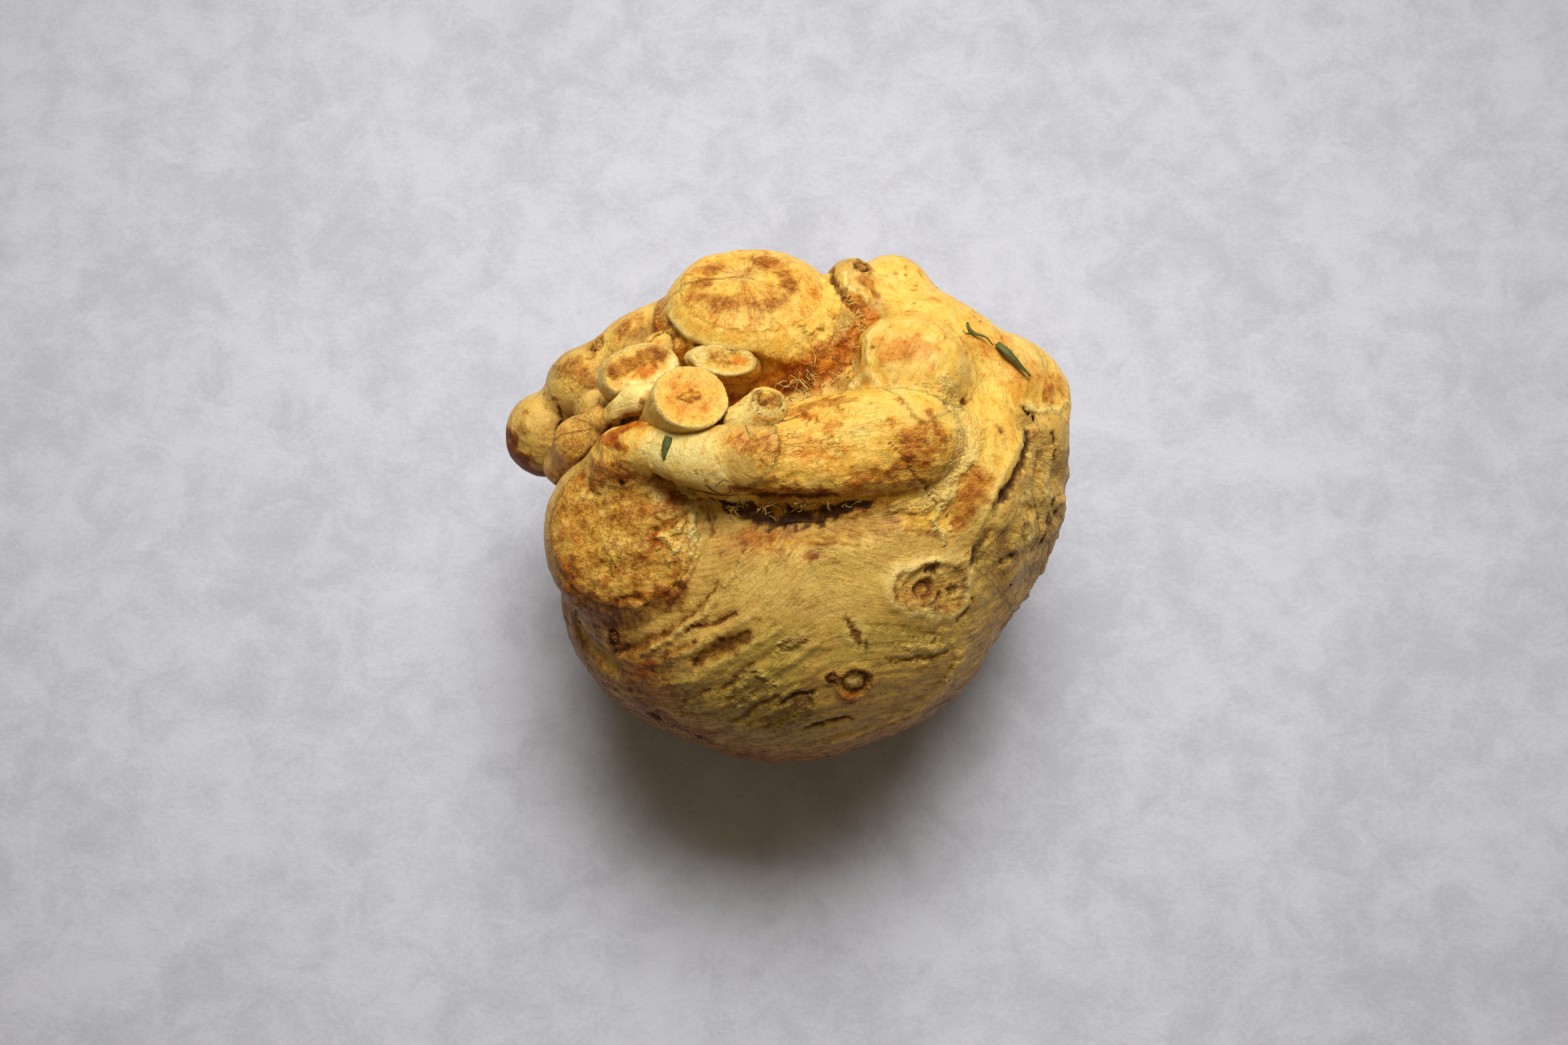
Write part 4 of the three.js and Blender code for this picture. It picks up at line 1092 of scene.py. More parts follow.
RIDGE_MARKS = (
    Mark("cream end", ((-22, 5, 84.4, 5), (-17, 4, 86, 6), (-13.6, -1, 86, 5)), 0, 0, 0.3,
         {"gold": 1, "cream": 0.85}, clear=("stain", "green", "lines", "crumb", "orange", "dirt")),
    Mark("cut's start", ((-13.4, 7.6, 88.4, 0.6), (-16, 3, 88.6, 0.7), (-14.6, 0, 87.8, 0.7),
                         (-12, -2.6, 86.8, 0.9)), 0, 0, 0.8, {"orange": 0.4, "stain": 0.2}),
    Mark("brown patch", ((-10, 5, 88.4, 1.8), (-6, 3.4, 89.2, 3.2), (-2.4, 2, 89.4, 2.6)), -0.1, 0, 0.9,
         {"gold": 1, "stain": 0.5, "orange": 0.4, "lines": 0.4}, clear=("cream",)),
    Mark("brown patch's tail", ((-0.6, 4.6, 89.8, 2), (5, 4, 90, 2.2), (11, 3.4, 90, 1.4)), 0, 0, 0.9,
         {"orange": 0.4, "stain": 0.1, "lines": 0.5}),
    Mark("orange streak", ((1.6, 2.4, 90, 0.6), (6, 1.8, 90, 0.8), (11, 0.8, 89.6, 0.6)), -0.1, 0, 0.8,
         {"orange": 0.7}),
    Mark("gold middle", ((-1, -1, 89.4, 2.2), (6, -1.6, 89.4, 2.4), (13, 1, 90, 2)), 0, 0, 0.9,
         {"gold": 1, "orange": 0.15}, clear=("stain",)),
    Mark("worn end", ((25, 5, 89.4, 3.4), (27, 8, 88.6, 2.6)), -0.15, 0, 0.8,
         {"orange": 0.6, "stain": 0.35, "crumb": 0.4}),
    Mark("worn end's ring", ((28.6, 11, 87.6, 1.2), (30.4, 8, 87.6, 1.7), (30.2, 4.4, 87.4, 1.8),
                             (27, 0, 87, 1.5)), -0.1, 0, 0.7, {"stain": 0.55, "orange": 0.4}),
    Mark("brown by bud", ((0.4, 11.4, 88, 1.4), (5, 13.4, 88, 2), (10.4, 14.2, 88, 1.6), (14, 13.4, 88, 0.8)),
         0, 0, 0.8, {"gold": 1, "stain": 0.6, "orange": 0.4, "crumb": 0.4}, clear=("cream",)),
    Mark("orange spot a", ((3.6, 10.6, 88.8, 1.3), (6.4, 10.4, 89, 0.9)), -0.1, 0, 0.7,
         {"orange": 0.9, "stain": 0.4}),
    Mark("orange spot b", ((8.6, 7.4, 90, 1.1), (11, 7.8, 90, 0.8)), 0, 0, 0.6,
         {"orange": 0.6, "stain": 0.3}),
    Mark("orange spot c", ((13.8, -1.6, 88.4, 1), (16, -2, 88, 0.9)), 0, 0, 0.6,
         {"orange": 0.7, "stain": 0.3}),
    Mark("orange spot d", ((-10.6, -3.2, 86, 1.2), (-7.6, -3.6, 85.8, 0.8)), 0, 0, 0.6,
         {"orange": 0.6, "stain": 0.3}),
    Mark("lower band", ((-9, -3.8, 85.4, 1.2), (-4, -4.6, 85, 1.7), (3, -5, 85.4, 1.8), (8, -4.6, 86, 1.1)),
         -0.1, 0, 0.7, {"stain": 0.8, "dirt": 0.15, "lines": 0.6}),
    Mark("lower band's end", ((13, -3, 87, 1.6), (19, -1.6, 87.4, 1.8), (23.6, 0.4, 87.6, 1.2)), 0, 0, 0.7,
         {"stain": 0.6, "orange": 0.4}),
    # Painted shade along the ridge's lower wall, over the crevice below it.
    Mark("shade along the underside", ((-6, -5.4, 83.6, 0.7), (3, -6, 84.4, 0.9), (10, -5.6, 85, 0.7)), -0.4, 0, 0.5,
         {"dirt": 0.7, "stain": 0.8}),
    Mark("knife scratch", ((20.6, 4, 89.9, 0.3), (24, 0.8, 88.4, 0.4), (27.4, -2.4, 84.6, 0.4),
                           (30.4, -5.4, 80.4, 0.4), (32.4, -7.6, 79, 0.3)), -0.45, 0.12, 0.15,
         {"stain": 0.9, "dirt": 0.35}),
    Mark("low teeth a", ((-1.4, -5.4, 83.4, 0.8),), 0.9, 0, 0.3, {"orange": 0.5}),
    Mark("low teeth b", ((3.4, -5.8, 84, 0.6),), 0.8, 0, 0.3, {"cream": 0.5}),
)


def dress_inner_shoots(skin):
    """The inner shoot and the right shoot's end: yellow, with orange-brown and pale patches on their cuts."""
    points = skin.points
    for shoot, seed, brown in ((INNER, 81, 0.12), (RIGHT_END, 84, 0.2)):
        own, cut, _, side = on_shoot(shoot, points)
        lay_fibres(skin, cut + side, own[:, 2], own[:, 1] * 0.3, own[:, 0])
        skin.wipe(cut + side, "green", "dirt", "stain")
        skin.tint(cut + side, gold=1)
        patches = rough(points, 6, seed, 3)
        skin.tint(cut * step_up(-0.2, 0.9, patches), stain=brown, orange=brown * 1.6, lines=0.2)
        skin.tint(cut * step_up(0.2, 0.8, -patches), cream=0.3)
        skin.lift += cut * 0.22 * patches + side * 0.15 * rough(points, 4, seed + 1, 2)


def dress_smooth_lobes(skin):
    """The lobes that were never cut: smooth and yellow, with pale and orange patches and brown flecks."""
    points = skin.points
    head = step_up(58, 70, points[:, 2]) * step_up(2, 5, body_distance(points))
    right = head * step_up(8, 24, points[:, 0]) * step_up(8, 16, points[:, 1])
    left = head * (1 - step_up(-30, -18, points[:, 0])) * step_up(8, 16, points[:, 1])
    skin.wipe(right + left, "green")
    skin.tint(right + left, gold=1)
    skin.tint(right * step_up(-0.3, 0.8, rough(points, 9, 94, 2)), cream=0.6)
    skin.tint(left * step_up(-0.5, 0.6, rough(points, 6, 91, 3)), stain=0.3, orange=0.4, crumb=0.4)
    skin.tint(left * step_up(0.2, 0.8, rough(points, 7, 95, 2)), cream=0.4)
    skin.tint(right * step_up(0, 0.8, rough(points, 7, 92, 3)), orange=0.4, stain=0.15)
    skin.tint((right + left) * step_up(0.72, 0.9, rough(points, 1.6, 93, 2)), stain=0.7)


def dress_underside(skin):
    """The root end: stumps of side roots, deep dirty folds between them, and earth left in them."""
    points = skin.points
    low = 1 - step_up(14, 34, points[:, 2])
    folds = rough(points, (9, 9, 6), 101, 3)
    skin.lift += low * (0.9 * (0.4 - np.abs(folds) * 1.5) + 0.3 * rough(points, 3.5, 102, 2))
    skin.tint(low * step_up(0.7, 0.96, 1 - np.abs(folds)), dirt=0.8, stain=0.6)
    skin.tint(low, stain=0.45)
    skin.tint(low * step_up(0, 0.6, rough(points, 4, 103, 3)), dirt=0.35)


def finish_skin(skin):
    """Overall roughness, painted shade in crevices, grooves and hollows, and rubbed high places."""
    points = skin.points
    smooth = 1 - 0.6 * skin.paint["cream"] * (1 - skin.paint["crumb"])
    skin.lift += smooth * (0.35 * rough(points, 12, 111, 2) + 0.12 * rough(points, 3.4, 112, 3))
    skin.lift += skin.paint["crumb"] * 0.3 * rough(points, 1.8, 113, 2)
    # Painted shade: the deeper a point lies in a crevice, the browner and darker it is painted.
    crevice_shade = skin.closeness()
    bare = 1 - 0.7 * skin.paint["cream"]
    skin.tint(bare * step_up(0.35, 0.8, crevice_shade + 0.12 * rough(points, 4, 114, 2)), stain=0.6, orange=0.4)
    skin.tint(bare * step_up(0.6, 1, crevice_shade + 0.12 * rough(points, 3, 115, 2)), dirt=0.8, stain=0.9)
    # Painted shade in the hollows of the lifted skin; its high places are rubbed paler.
    hollow = skin.smoothed(skin.lift, 8) - skin.lift
    skin.tint(step_up(0.1, 0.5, hollow), dirt=0.25, stain=0.6)
    skin.tint(step_up(0.1, 0.5, -hollow), cream=0.25)


def scar_stumps(skin):
    """The cut ends of the side roots' stumps: pithy, ringed with earth."""
    for count, (stump, (_, _, half)) in enumerate(zip(STUMPS, SIDE_ROOTS)):
        end = np.array(stump.at) + unit(stump.face) * half * 0.7
        RootScar(f"stump {count + 1}", tuple(end), half * 0.55, 1.5, 0.5, 0.35, 0.8).make(skin, 600 + count)


def scatter_scars(skin):
    """Small root scars and pits over the sides and the back, thickest low down."""
    rng = np.random.default_rng(5)
    for count in range(46):
        turn = rng.uniform(-25, 235)
        height = rng.uniform(8, 64)
        way = np.array([math.cos(math.radians(turn)), math.sin(math.radians(turn)), 0])
        at = np.array(BODY_CENTRE) * (1, 1, 0) + way * 48 + (0, 0, height)
        size = rng.uniform(0.5, 1.9)
        if size > 1.2:
            RootScar(f"scattered scar {count}", tuple(at), size, 1.8, 0.6, 0.35, 0.8).make(skin, 700 + count)
        else:
            pit = Mark(f"scattered pit {count}", ((*at, size),), -0.5, 0.2, 0.4, {"dirt": 0.6, "stain": 0.7})
            pit.make(skin, 700 + count)


def dress_root(skin):
    """Works over the whole root, from the body's skin to the last small mark."""
    dress_body(skin)
    dress_flank(skin)
    dress_smooth_lobes(skin)
    dress_left_shoot(skin)
    dress_back_shoot(skin)
    dress_ridge(skin)
    dress_inner_shoots(skin)
    dress_underside(skin)
    scar_stumps(skin)
    scatter_scars(skin)
    for count, mark in enumerate((*MARKS, *LEFT_MARKS, *wrinkle_marks(), *RIDGE_MARKS)):
        mark.make(skin, 500 + count)
    finish_skin(skin)


# Stalks, buds and the leaf base that stand in the crown


@dataclass
class Stalk:
    """A stalk or bud: its whole form, the slope of its cut, and what is painted where.

    The heart is the middle of the cut, which starts some way in from its edge; the band lies between.
    """

    name: str
    whole: object
    cut: Slope
    seed: int
    edge: float = 0.8
    inset: float = 2
    heart: dict = None
    band: dict = None
    rim: dict = None
    side: dict = None
    marks: tuple = ()

    def distance(self, points):
        return soft_max(self.whole.distance(points), self.cut.distance(points), self.edge)

    def dress(self, skin):
        points = skin.points
        whole, past = self.whole.distance(points), self.cut.distance(points)
        cut = step_up(-0.3, 0.5, past - whole)
        rim = hump(past - whole, 0.1, 0.6)
        axes = turned(self.cut.facing, (1, 0, 0))
        own = (points - np.array(self.cut.at)) @ axes.T
        turn = np.arctan2(own[:, 1], own[:, 0])
        radius = np.hypot(own[:, 0], own[:, 1])
        along_side = np.stack([own[:, 2], radius * 0, turn * 7], 1)
        skin.grain = np.where(cut[:, None] > 0.5, own * (4, 4, 1), along_side)
        rays = rough(np.stack([np.cos(turn) * 5, np.sin(turn) * 5, radius * 0.3], 1), 2, self.seed, 2)
        far_in = -whole + 0.5 * rays + 0.8 * rough(points, 2.6, self.seed + 1, 3)
        heart = cut * step_up(self.inset, self.inset + 2.2, far_in)
        skin.lift += 0.2 * rim - 0.25 * heart + 0.12 * rough(points, 1.6, self.seed + 2, 2) * heart
        skin.lift += 0.1 * rough(skin.grain, (8, 8, 1.3), self.seed + 3, 2) * (1 - cut)
        skin.lift += 0.2 * rough(points, 5, self.seed + 4, 2)
        skin.tint(1 - cut, **(self.side or {}))
        skin.tint(cut * (1 - heart), **(self.band or {}))
        mottled = 0.5 + 0.5 * step_up(-0.5, 0.5, rough(points, 1.8, self.seed + 5, 3))
        skin.tint(heart * mottled, **(self.heart or {}))
        skin.tint(rim, **(self.rim or {}))
        for count, mark in enumerate(self.marks):
            mark.make(skin, self.seed + 20 + count)


STALKS = (
    Stalk(
        "stalk_round", Run("round", ((-26, 12.2, 70, 5.8), (-16.2, 14.5, 95, 7.6))),
        Slope((-18, 13.3, 89.5), (0.1, 0.22, 0.97), 0), 301, 0.9, 1.4,
        heart={"gold": 1, "stain": 0.15, "orange": 0.7}, band={"gold": 1, "orange": 0.15}, rim={"cream": 0.7},
        side={"gold": 1, "cream": 0.35},
        marks=(
            Mark("swirl", ((-18.8, 14, 89.3, 1.1), (-17.6, 14.8, 89.2, 0.9)), 0.15, 0.1, 0.5,
                 {"cream": 0.4, "crumb": 0.5}, {"dirt": 0.4, "stain": 0.6}),
        ),
    ),
    Stalk(
        "stalk_left", Shoot("left stalk", (-29.4, 23.4, 75), (8.8, 6.1, 9), (0.05, -0.1, 1), (1, 0.3, 0)),
        Slope((-29.2, 23.2, 79.4), (0.05, -0.1, 1), 0), 321, 1.2, 1.2,
        heart={"gold": 1, "stain": 0.2, "orange": 0.2}, band={"gold": 1, "cream": 0.2, "stain": 0.15},
        rim={"cream": 0.4}, side={"gold": 1, "cream": 0.6},
        marks=(
            Mark("brown side", ((-34.6, 22.8, 79.4, 2.2), (-30.4, 25, 79.4, 3), (-25.8, 26.6, 79.2, 2.2)),
                 -0.1, 0, 0.5, {"stain": 0.85, "orange": 0.2, "crumb": 0.3}),
            Mark("pale crescent",
                 ((-31.5, 19.4, 79.2, 1.3), (-27, 19.6, 79.2, 2), (-23.4, 21.4, 79.2, 2.1),
                  (-21.8, 24.6, 79, 1.5)),
                 0.2, 0, 0.3, {"cream": 1}, clear=("stain", "orange", "crumb", "lines")),
            Mark("orange spot", ((-28.4, 22.4, 79.4, 1.5), (-26.6, 22.9, 79.3, 1.2)), 0, 0, 0.5,
                 {"orange": 1}),
        ),
    ),
    Stalk(
        "stalk_back", Shoot("back stalk", (-12.4, 25, 77), (8.2, 3.9, 8), (0, -0.12, 1), (1, -0.12, 0)),
        Slope((-12.4, 24.4, 81.7), (0, -0.2, 1), 0), 341, 0.6, 0.3,
        heart={"gold": 1, "stain": 0.2, "orange": 0.2, "crumb": 0.4}, band={"gold": 1, "cream": 0.4},
        # The side's brown and dark are painted shade under the back shoot's overhanging rim; its gold and
        # cream are its own colour.
        rim={"cream": 0.9}, side={"gold": 1, "cream": 0.3, "stain": 0.6, "dirt": 0.2},
        marks=(
            Mark("pale tip", ((-19.4, 25.6, 81, 1.6), (-16.6, 25.4, 81, 1.6)), 0.2, 0, 0.3, {"cream": 1},
                 clear=("stain", "orange", "crumb")),
            Mark("brown heart", ((-15, 24.6, 81, 1.6), (-11.6, 24, 81, 1.8)), -0.2, 0, 0.5, {"stain": 0.45}),
            Mark("orange spot", ((-9.4, 24.4, 81, 1.4), (-8.2, 24, 81, 1.1)), 0, 0, 0.5,
                 {"orange": 1, "gold": 1}),
        ),
    ),
    Stalk(
        "bud_pointed",
        Run("pointed", ((-24.5, 18.4, 79.5, 1.8), (-30, 16.2, 80.2, 2.5), (-35.2, 13.8, 79, 1.8))),
        Slope((-35.6, 13.7, 79.4), (-0.75, -0.1, 0.65), 0), 361, 1, 0.6,
        heart={"stain": 0.4, "orange": 0.5}, band={"gold": 1, "stain": 0.2}, rim={"cream": 0.3},
        side={"gold": 1, "cream": 0.75},
    ),
    Stalk(
        "bud_small", Run("small", ((-8.5, 9.7, 86.2, 3.8), (-3.8, 11.9, 87, 4.7))),
        Slope((-3.2, 12.6, 91), (0.2, 0.25, 0.95), 0), 381, 1.6, 1,
        heart={"stain": 0.8, "orange": 0.3, "crumb": 0.4}, band={"gold": 1, "stain": 0.3, "orange": 0.2},
        rim={"stain": 0.1}, side={"gold": 1, "cream": 0.6},
        marks=(
            Mark("dark middle", ((-3.6, 12.6, 91.2, 1.3), (-2.2, 13.4, 91, 0.9)), -0.35, 0, 0.7,
                 {"stain": 0.9, "dirt": 0.4}),
            Mark("brown top", ((-5.4, 13.6, 90.4, 1.4), (-1.6, 13.4, 90.6, 1.8)), -0.1, 0, 0.8,
                 {"stain": 0.6, "crumb": 0.5}),
            Mark("orange side", ((-5.6, 10, 89.6, 0.9), (-2.4, 9.4, 89.8, 0.8)), 0, 0, 0.8,
                 {"orange": 0.7, "stain": 0.2}),
        ),
    ),
    Stalk(
        "leaf_base", Run("base", ((-37, 14, 71, 4), (-42, 11.5, 66, 5), (-46, 9, 58, 4.5))),
        Slope((-38, 12.5, 76), (-0.3, 0.1, 1), 0), 401, 1.6, 0.5,
        heart={"gold": 1, "stain": 0.4, "orange": 0.3}, band={"gold": 1, "stain": 0.3}, rim={"cream": 0.3},
        side={"gold": 1, "cream": 0.35, "stain": 0.4, "orange": 0.4, "crumb": 0.3},
        marks=(
            Mark("curled edge",
                 ((-34.4, 14.8, 77.4, 0.5), (-38.4, 8.4, 74, 0.6), (-43.6, 5.2, 68, 0.6), (-48, 4, 60, 0.5)),
                 0.7, 0.1, 0.4, {"cream": 0.9}, {"stain": 0.6}),
        ),
    ),
)


def all_distance(points):
    """The root together with what stands in its crown."""
    distance = root_distance(points)
    for stalk in STALKS:
        distance = np.minimum(distance, stalk.distance(points))
    return distance


# Strands: fibres, hairs and scraps of leaf


@dataclass
class Strand:
    """A thin piece along a path, round or flattened, that narrows at its ends."""

    path: np.ndarray
    width: float
    thickness: float = None
    up: tuple = (0, 0, 1)
    tip: float = 0.25
    root: float = 0.8


def strand_mesh(name, strands, sides=6):
    """One mesh of many strands, each closed at both ends."""
    points, faces = [], []
    angles = np.arange(sides) * math.tau / sides
    ring = np.stack([np.cos(angles), np.sin(angles)], 1)
    for strand in strands:
        path = np.asarray(strand.path, float)
        way = np.gradient(path, axis=0)
        way /= np.linalg.norm(way, axis=1, keepdims=True) + 1e-9
        across = np.cross(way, unit(strand.up))
        across /= np.linalg.norm(across, axis=1, keepdims=True) + 1e-9
        rise = np.cross(across, way)
        share = np.linspace(0, 1, len(path))
        taper = np.interp(share, (0, 0.35, 1), (strand.root, 1, strand.tip))
        half = strand.width / 2 * taper
        thick = (strand.thickness or strand.width) / 2 * taper
        start = len(points)
        for k in range(len(path)):
            offsets = ring[:, :1] * across[k] * half[k] + ring[:, 1:] * rise[k] * thick[k]
            points.extend(path[k] + offsets)
        for k in range(len(path) - 1):
            for n in range(sides):
                a, b = start + k * sides + n, start + k * sides + (n + 1) % sides
                faces.append((a, b, b + sides, a + sides))
        faces.append(tuple(start + n for n in reversed(range(sides))))
        faces.append(tuple(start + (len(path) - 1) * sides + n for n in range(sides)))
    mesh = bpy.data.meshes.new(name)
    mesh.from_pydata((np.array(points) * MM).tolist(), [], faces)
    mesh.polygons.foreach_set("use_smooth", np.ones(len(mesh.polygons), bool))
    piece = bpy.data.objects.new(name, mesh)
    bpy.context.scene.collection.objects.link(piece)
    return piece


def smooth_path(stops, count):
    """A smooth path through stops, as count points."""
    stops = np.asarray(stops, float)
    places = np.linspace(0, len(stops) - 1, count)
    padded = np.vstack([2 * stops[0] - stops[1], stops, 2 * stops[-1] - stops[-2]])
    whole = np.minimum(places.astype(int), len(stops) - 2)
    t = (places - whole)[:, None]
    a, b, c, d = (padded[whole + n] for n in range(4))
    return 0.5 * (2 * b + (c - a) * t + (2 * a - 5 * b + 4 * c - d) * t**2 + (3 * b - a - 3 * c + d) * t**3)


def wandering(rng, start, way, length, curl, steps=9):
    """A path that sets off along way and wanders as it goes."""
    point, way = np.array(start, float), unit(way)
    path = [point]
    for _ in range(steps - 1):
        way = unit(way + curl * rng.normal(size=3))
        point = point + way * length / (steps - 1)
        path.append(point)
    return np.array(path)


# Materials


class Value:
    """A socket that carries a number: an expression on values adds its Math nodes."""

    def __init__(self, shader, socket):
        self.shader = shader
        self.socket = socket

    def math(self, operation, *values):
        return self.shader.node("ShaderNodeMath", {"operation": operation}, dict(enumerate(values)))

    def __add__(self, other):
        return self.math("ADD", self, other)

    def __radd__(self, other):
        return self.math("ADD", other, self)

    def __sub__(self, other):
        return self.math("SUBTRACT", self, other)

    def __rsub__(self, other):
        return self.math("SUBTRACT", other, self)

    def __mul__(self, other):
        return self.math("MULTIPLY", self, other)

    def __abs__(self):
        return self.math("ABSOLUTE", self)


class Shader:
    """A material's nodes, each added by one call."""

    def __init__(self, name):
        self.material = bpy.data.materials.new(name)
        self.material.use_nodes = True
        self.tree = self.material.node_tree
        self.surface = self.tree.nodes["Principled BSDF"]

    def node(self, kind, settings=None, inputs=None, out=0):
        """Adds a node of a kind, with its settings first and then its inputs, and gives one output."""
        node = self.tree.nodes.new(kind)
        for setting, value in (settings or {}).items():
            setattr(node, setting, value)
        self.fill(node, inputs or {})
        return Value(self, node.outputs[out])

    def fill(self, node, inputs):
        for socket, value in inputs.items():
            if isinstance(value, Value):
                self.tree.links.new(value.socket, node.inputs[socket])
            else:
                node.inputs[socket].default_value = value

    def finish(self, inputs):
        self.fill(self.surface, inputs)
        return self.material

    def layer(self, name, out="Fac"):
        """What the mesh carries under a name."""
        return self.node("ShaderNodeAttribute", {"attribute_name": name}, out=out)

    def scaled(self, vector, scale):
        return self.node("ShaderNodeVectorMath", {"operation": "MULTIPLY"}, {0: vector, 1: scale})

    def millimetres(self):
        where = self.node("ShaderNodeTexCoord", out="Object")
        return self.scaled(where, (1 / MM,) * 3)

    def noise(self, vector, scale, detail=3, roughness=0.55, distortion=0):
        inputs = {"Vector": vector, "Scale": scale, "Detail": detail, "Roughness": roughness,
                  "Distortion": distortion}
        return self.node("ShaderNodeTexNoise", {"noise_dimensions": "3D"}, inputs)

    def cells(self, vector, scale, out="Distance"):
        """Scattered cells: the distance from the nearest one's middle, or its own colour."""
        return self.node("ShaderNodeTexVoronoi", {"feature": "F1"}, {"Vector": vector, "Scale": scale}, out)

    def between(self, value, low, high):
        """0 up to low, 1 from high, and smooth between them."""
        settings = {"interpolation_type": "SMOOTHSTEP", "clamp": True}
        return self.node("ShaderNodeMapRange", settings, {"Value": value, "From Min": low, "From Max": high})

    def mixed(self, share, first, second, blend="MIX"):
        settings = {"data_type": "RGBA", "blend_type": blend, "clamp_factor": True}
        return self.node("ShaderNodeMix", settings, {0: share, 6: first, 7: second}, out=2)


def shade(red, green, blue):
    """A colour given as it shows on a screen, from 0 to 255, turned into light."""
    screen = (red, green, blue)
    return tuple(((v / 255 + 0.055) / 1.055) ** 2.4 if v > 10 else v / 255 / 12.92 for v in screen)


def opaque(colour):
    return (*colour, 1)


def skin_material(name, colours, base, deep):
    """Root skin: clouds in the base colour, the layers of paint over them, then specks, lines and relief."""
    shader = Shader(name)
    place = shader.millimetres()
    fibres = shader.layer("grain", "Vector")
    gold, cream, green, stain, orange, dirt, crumb, lines = (shader.layer(layer) for layer in LAYERS)
    grit = shader.noise(place, 2.1, 3, 0.7)
    specks = shader.noise(place, 0.9, 4, 0.65)
    patches = shader.noise(place, 0.36, 4, 0.65)
    clouds = shader.noise(place, 0.13, 4, 0.6)
    streaks = shader.noise(shader.scaled(fibres, (0.12, 0.12, 1)), 1, 4, 0.6, 0.3)
    crinkles = shader.noise(shader.scaled(fibres, (0.2, 0.2, 0.65)), 1, 4, 0.6, 0.5)
    broken = specks * 0.7 + streaks * 0.5 + patches * 0.5 - 0.85

    def ragged(mask, amount, soft=0.3):
        return shader.between(mask + broken * amount, 0.5 - soft, 0.5 + soft)

    colour = shader.mixed(shader.between(clouds * 0.5 + streaks * 0.3 + patches * 0.2, 0.38, 0.62), base,
                          deep)
    colour = shader.mixed(ragged(green, 0.9, 0.45) * 0.75, colour, opaque(colours.green))
    head = shader.mixed(shader.between(clouds * 0.4 + patches * 0.6, 0.38, 0.62), opaque(colours.head),
                        opaque(colours.head_deep))
    colour = shader.mixed(ragged(gold, 0.8, 0.4), colour, head)
    pale = shader.mixed(shader.between(patches * 0.6 + clouds * 0.4, 0.38, 0.62), opaque(colours.flesh),
                        opaque(colours.flesh_deep))
    colour = shader.mixed(ragged(cream, 1, 0.4), colour, pale)
    brown = shader.mixed(shader.between(patches, 0.38, 0.64), opaque(colours.stain),
                         opaque(colours.stain_deep))
    colour = shader.mixed(ragged(stain, 1.2, 0.45) * 0.7 + stain * 0.3, colour, brown, "MULTIPLY")
    colour = shader.mixed(ragged(orange, 1.2, 0.45) * 0.7 + orange * 0.3, colour, opaque(colours.orange),
                          "MULTIPLY")
    colour = shader.mixed(ragged(dirt, 1.1, 0.45) * 0.9, colour, opaque(colours.dirt))
    rubble = shader.cells(place, 1.3)
    shades = shader.cells(place, 1.6, "Color")
    crumb_tone = shader.between(shades, 0.2, 0.8) * ragged(crumb, 1)
    tan = (0.6, 0.42, 0.24, 1)
    colour = shader.mixed(shader.between(grit * 0.5 + specks * 0.5, 0.45, 0.7) * 0.55, colour, tan,
                          "MULTIPLY")
    colour = shader.mixed(shader.between(streaks, 0.5, 0.75) * 0.3, colour, tan, "MULTIPLY")
    crumbs = ragged(crumb, 1) * shader.between(grit, 0.5, 0.66)
    colour = shader.mixed(crumbs * 0.4 + shader.between(grit, 0.62, 0.74) * 0.12, colour,
                          opaque(colours.flesh))
    colour = shader.mixed(crumb_tone * 0.25, colour, tan, "MULTIPLY")
    crease = (1 - shader.between(abs(crinkles - 0.5), 0, 0.022)) * (lines * 0.75 + 0.12)
    colour = shader.mixed(crease, colour, opaque(colours.stain_deep), "MULTIPLY")
    pores = shader.between(shader.noise(place, 0.75, 2, 0.8), 0.68, 0.73)
    colour = shader.mixed(pores * 0.6, colour, opaque(colours.stain_deep), "MULTIPLY")
    relief = streaks * 0.3 + grit * 0.2 + specks * 0.5 + patches * 0.7
    height = relief * (0.42 + stain * 0.35 + crumb * 0.8) - crease * 0.25
    height = height + (1 - rubble) * ragged(crumb, 1) * 0.25
    bump = shader.node("ShaderNodeBump", None, {"Height": height, "Distance": MM, "Strength": 1})
    return shader.finish({
        "Base Color": colour,
        "Roughness": 0.32 + patches * 0.16 + dirt * 0.25 + crumb * 0.2,
        "Normal": bump,
        "Specular IOR Level": 0.22,
        "Subsurface Weight": 0.06,
        "Subsurface Radius": (1, 0.45, 0.15),
        "Subsurface Scale": 1 * MM,
    })


def strand_material(name, pale, dark):
    """Dry fibres: paler and darker along their length."""
    shader = Shader(name)
    place = shader.millimetres()
    uneven = shader.noise(place, 0.7, 3, 0.6)
    fine = shader.noise(place, 4, 2, 0.6)
    bump = shader.node("ShaderNodeBump", None, {"Height": fine * 0.08, "Distance": MM, "Strength": 0.7})
    return shader.finish({
        "Base Color": shader.mixed(shader.between(uneven, 0.35, 0.65), opaque(pale), opaque(dark)),
        "Roughness": 0.6 + fine * 0.2,
        "Normal": bump,
    })


def floor_material(colour):
    """A pale stone floor, faintly clouded and smudged."""
    shader = Shader("floor")
    place = shader.millimetres()
    clouds = shader.noise(place, 0.02, 3, 0.6)
    smudges = shader.noise(place, 0.09, 5, 0.7, 0.4)
    grit = shader.noise(place, 0.9, 3, 0.7)
    darker = tuple(v * 0.86 for v in colour)
    lighter = tuple(min(1, v * 1.06) for v in colour)
    blend = shader.between(clouds * 0.35 + smudges * 0.45 + grit * 0.2, 0.4, 0.62)
    bump = shader.node("ShaderNodeBump", None, {"Height": smudges * 0.5 + grit * 0.15, "Distance": MM,
                                                "Strength": 0.6})
    return shader.finish({
        "Base Color": shader.mixed(blend, opaque(lighter), opaque(darker)),
        "Roughness": 0.8 + grit * 0.1,
        "Normal": bump,
    })


# Settings


def colour_setting(label, use, value):
    return bpy.props.FloatVectorProperty(
        name=label, description=use, default=value, size=3, min=0, max=1, subtype="COLOR"
    )


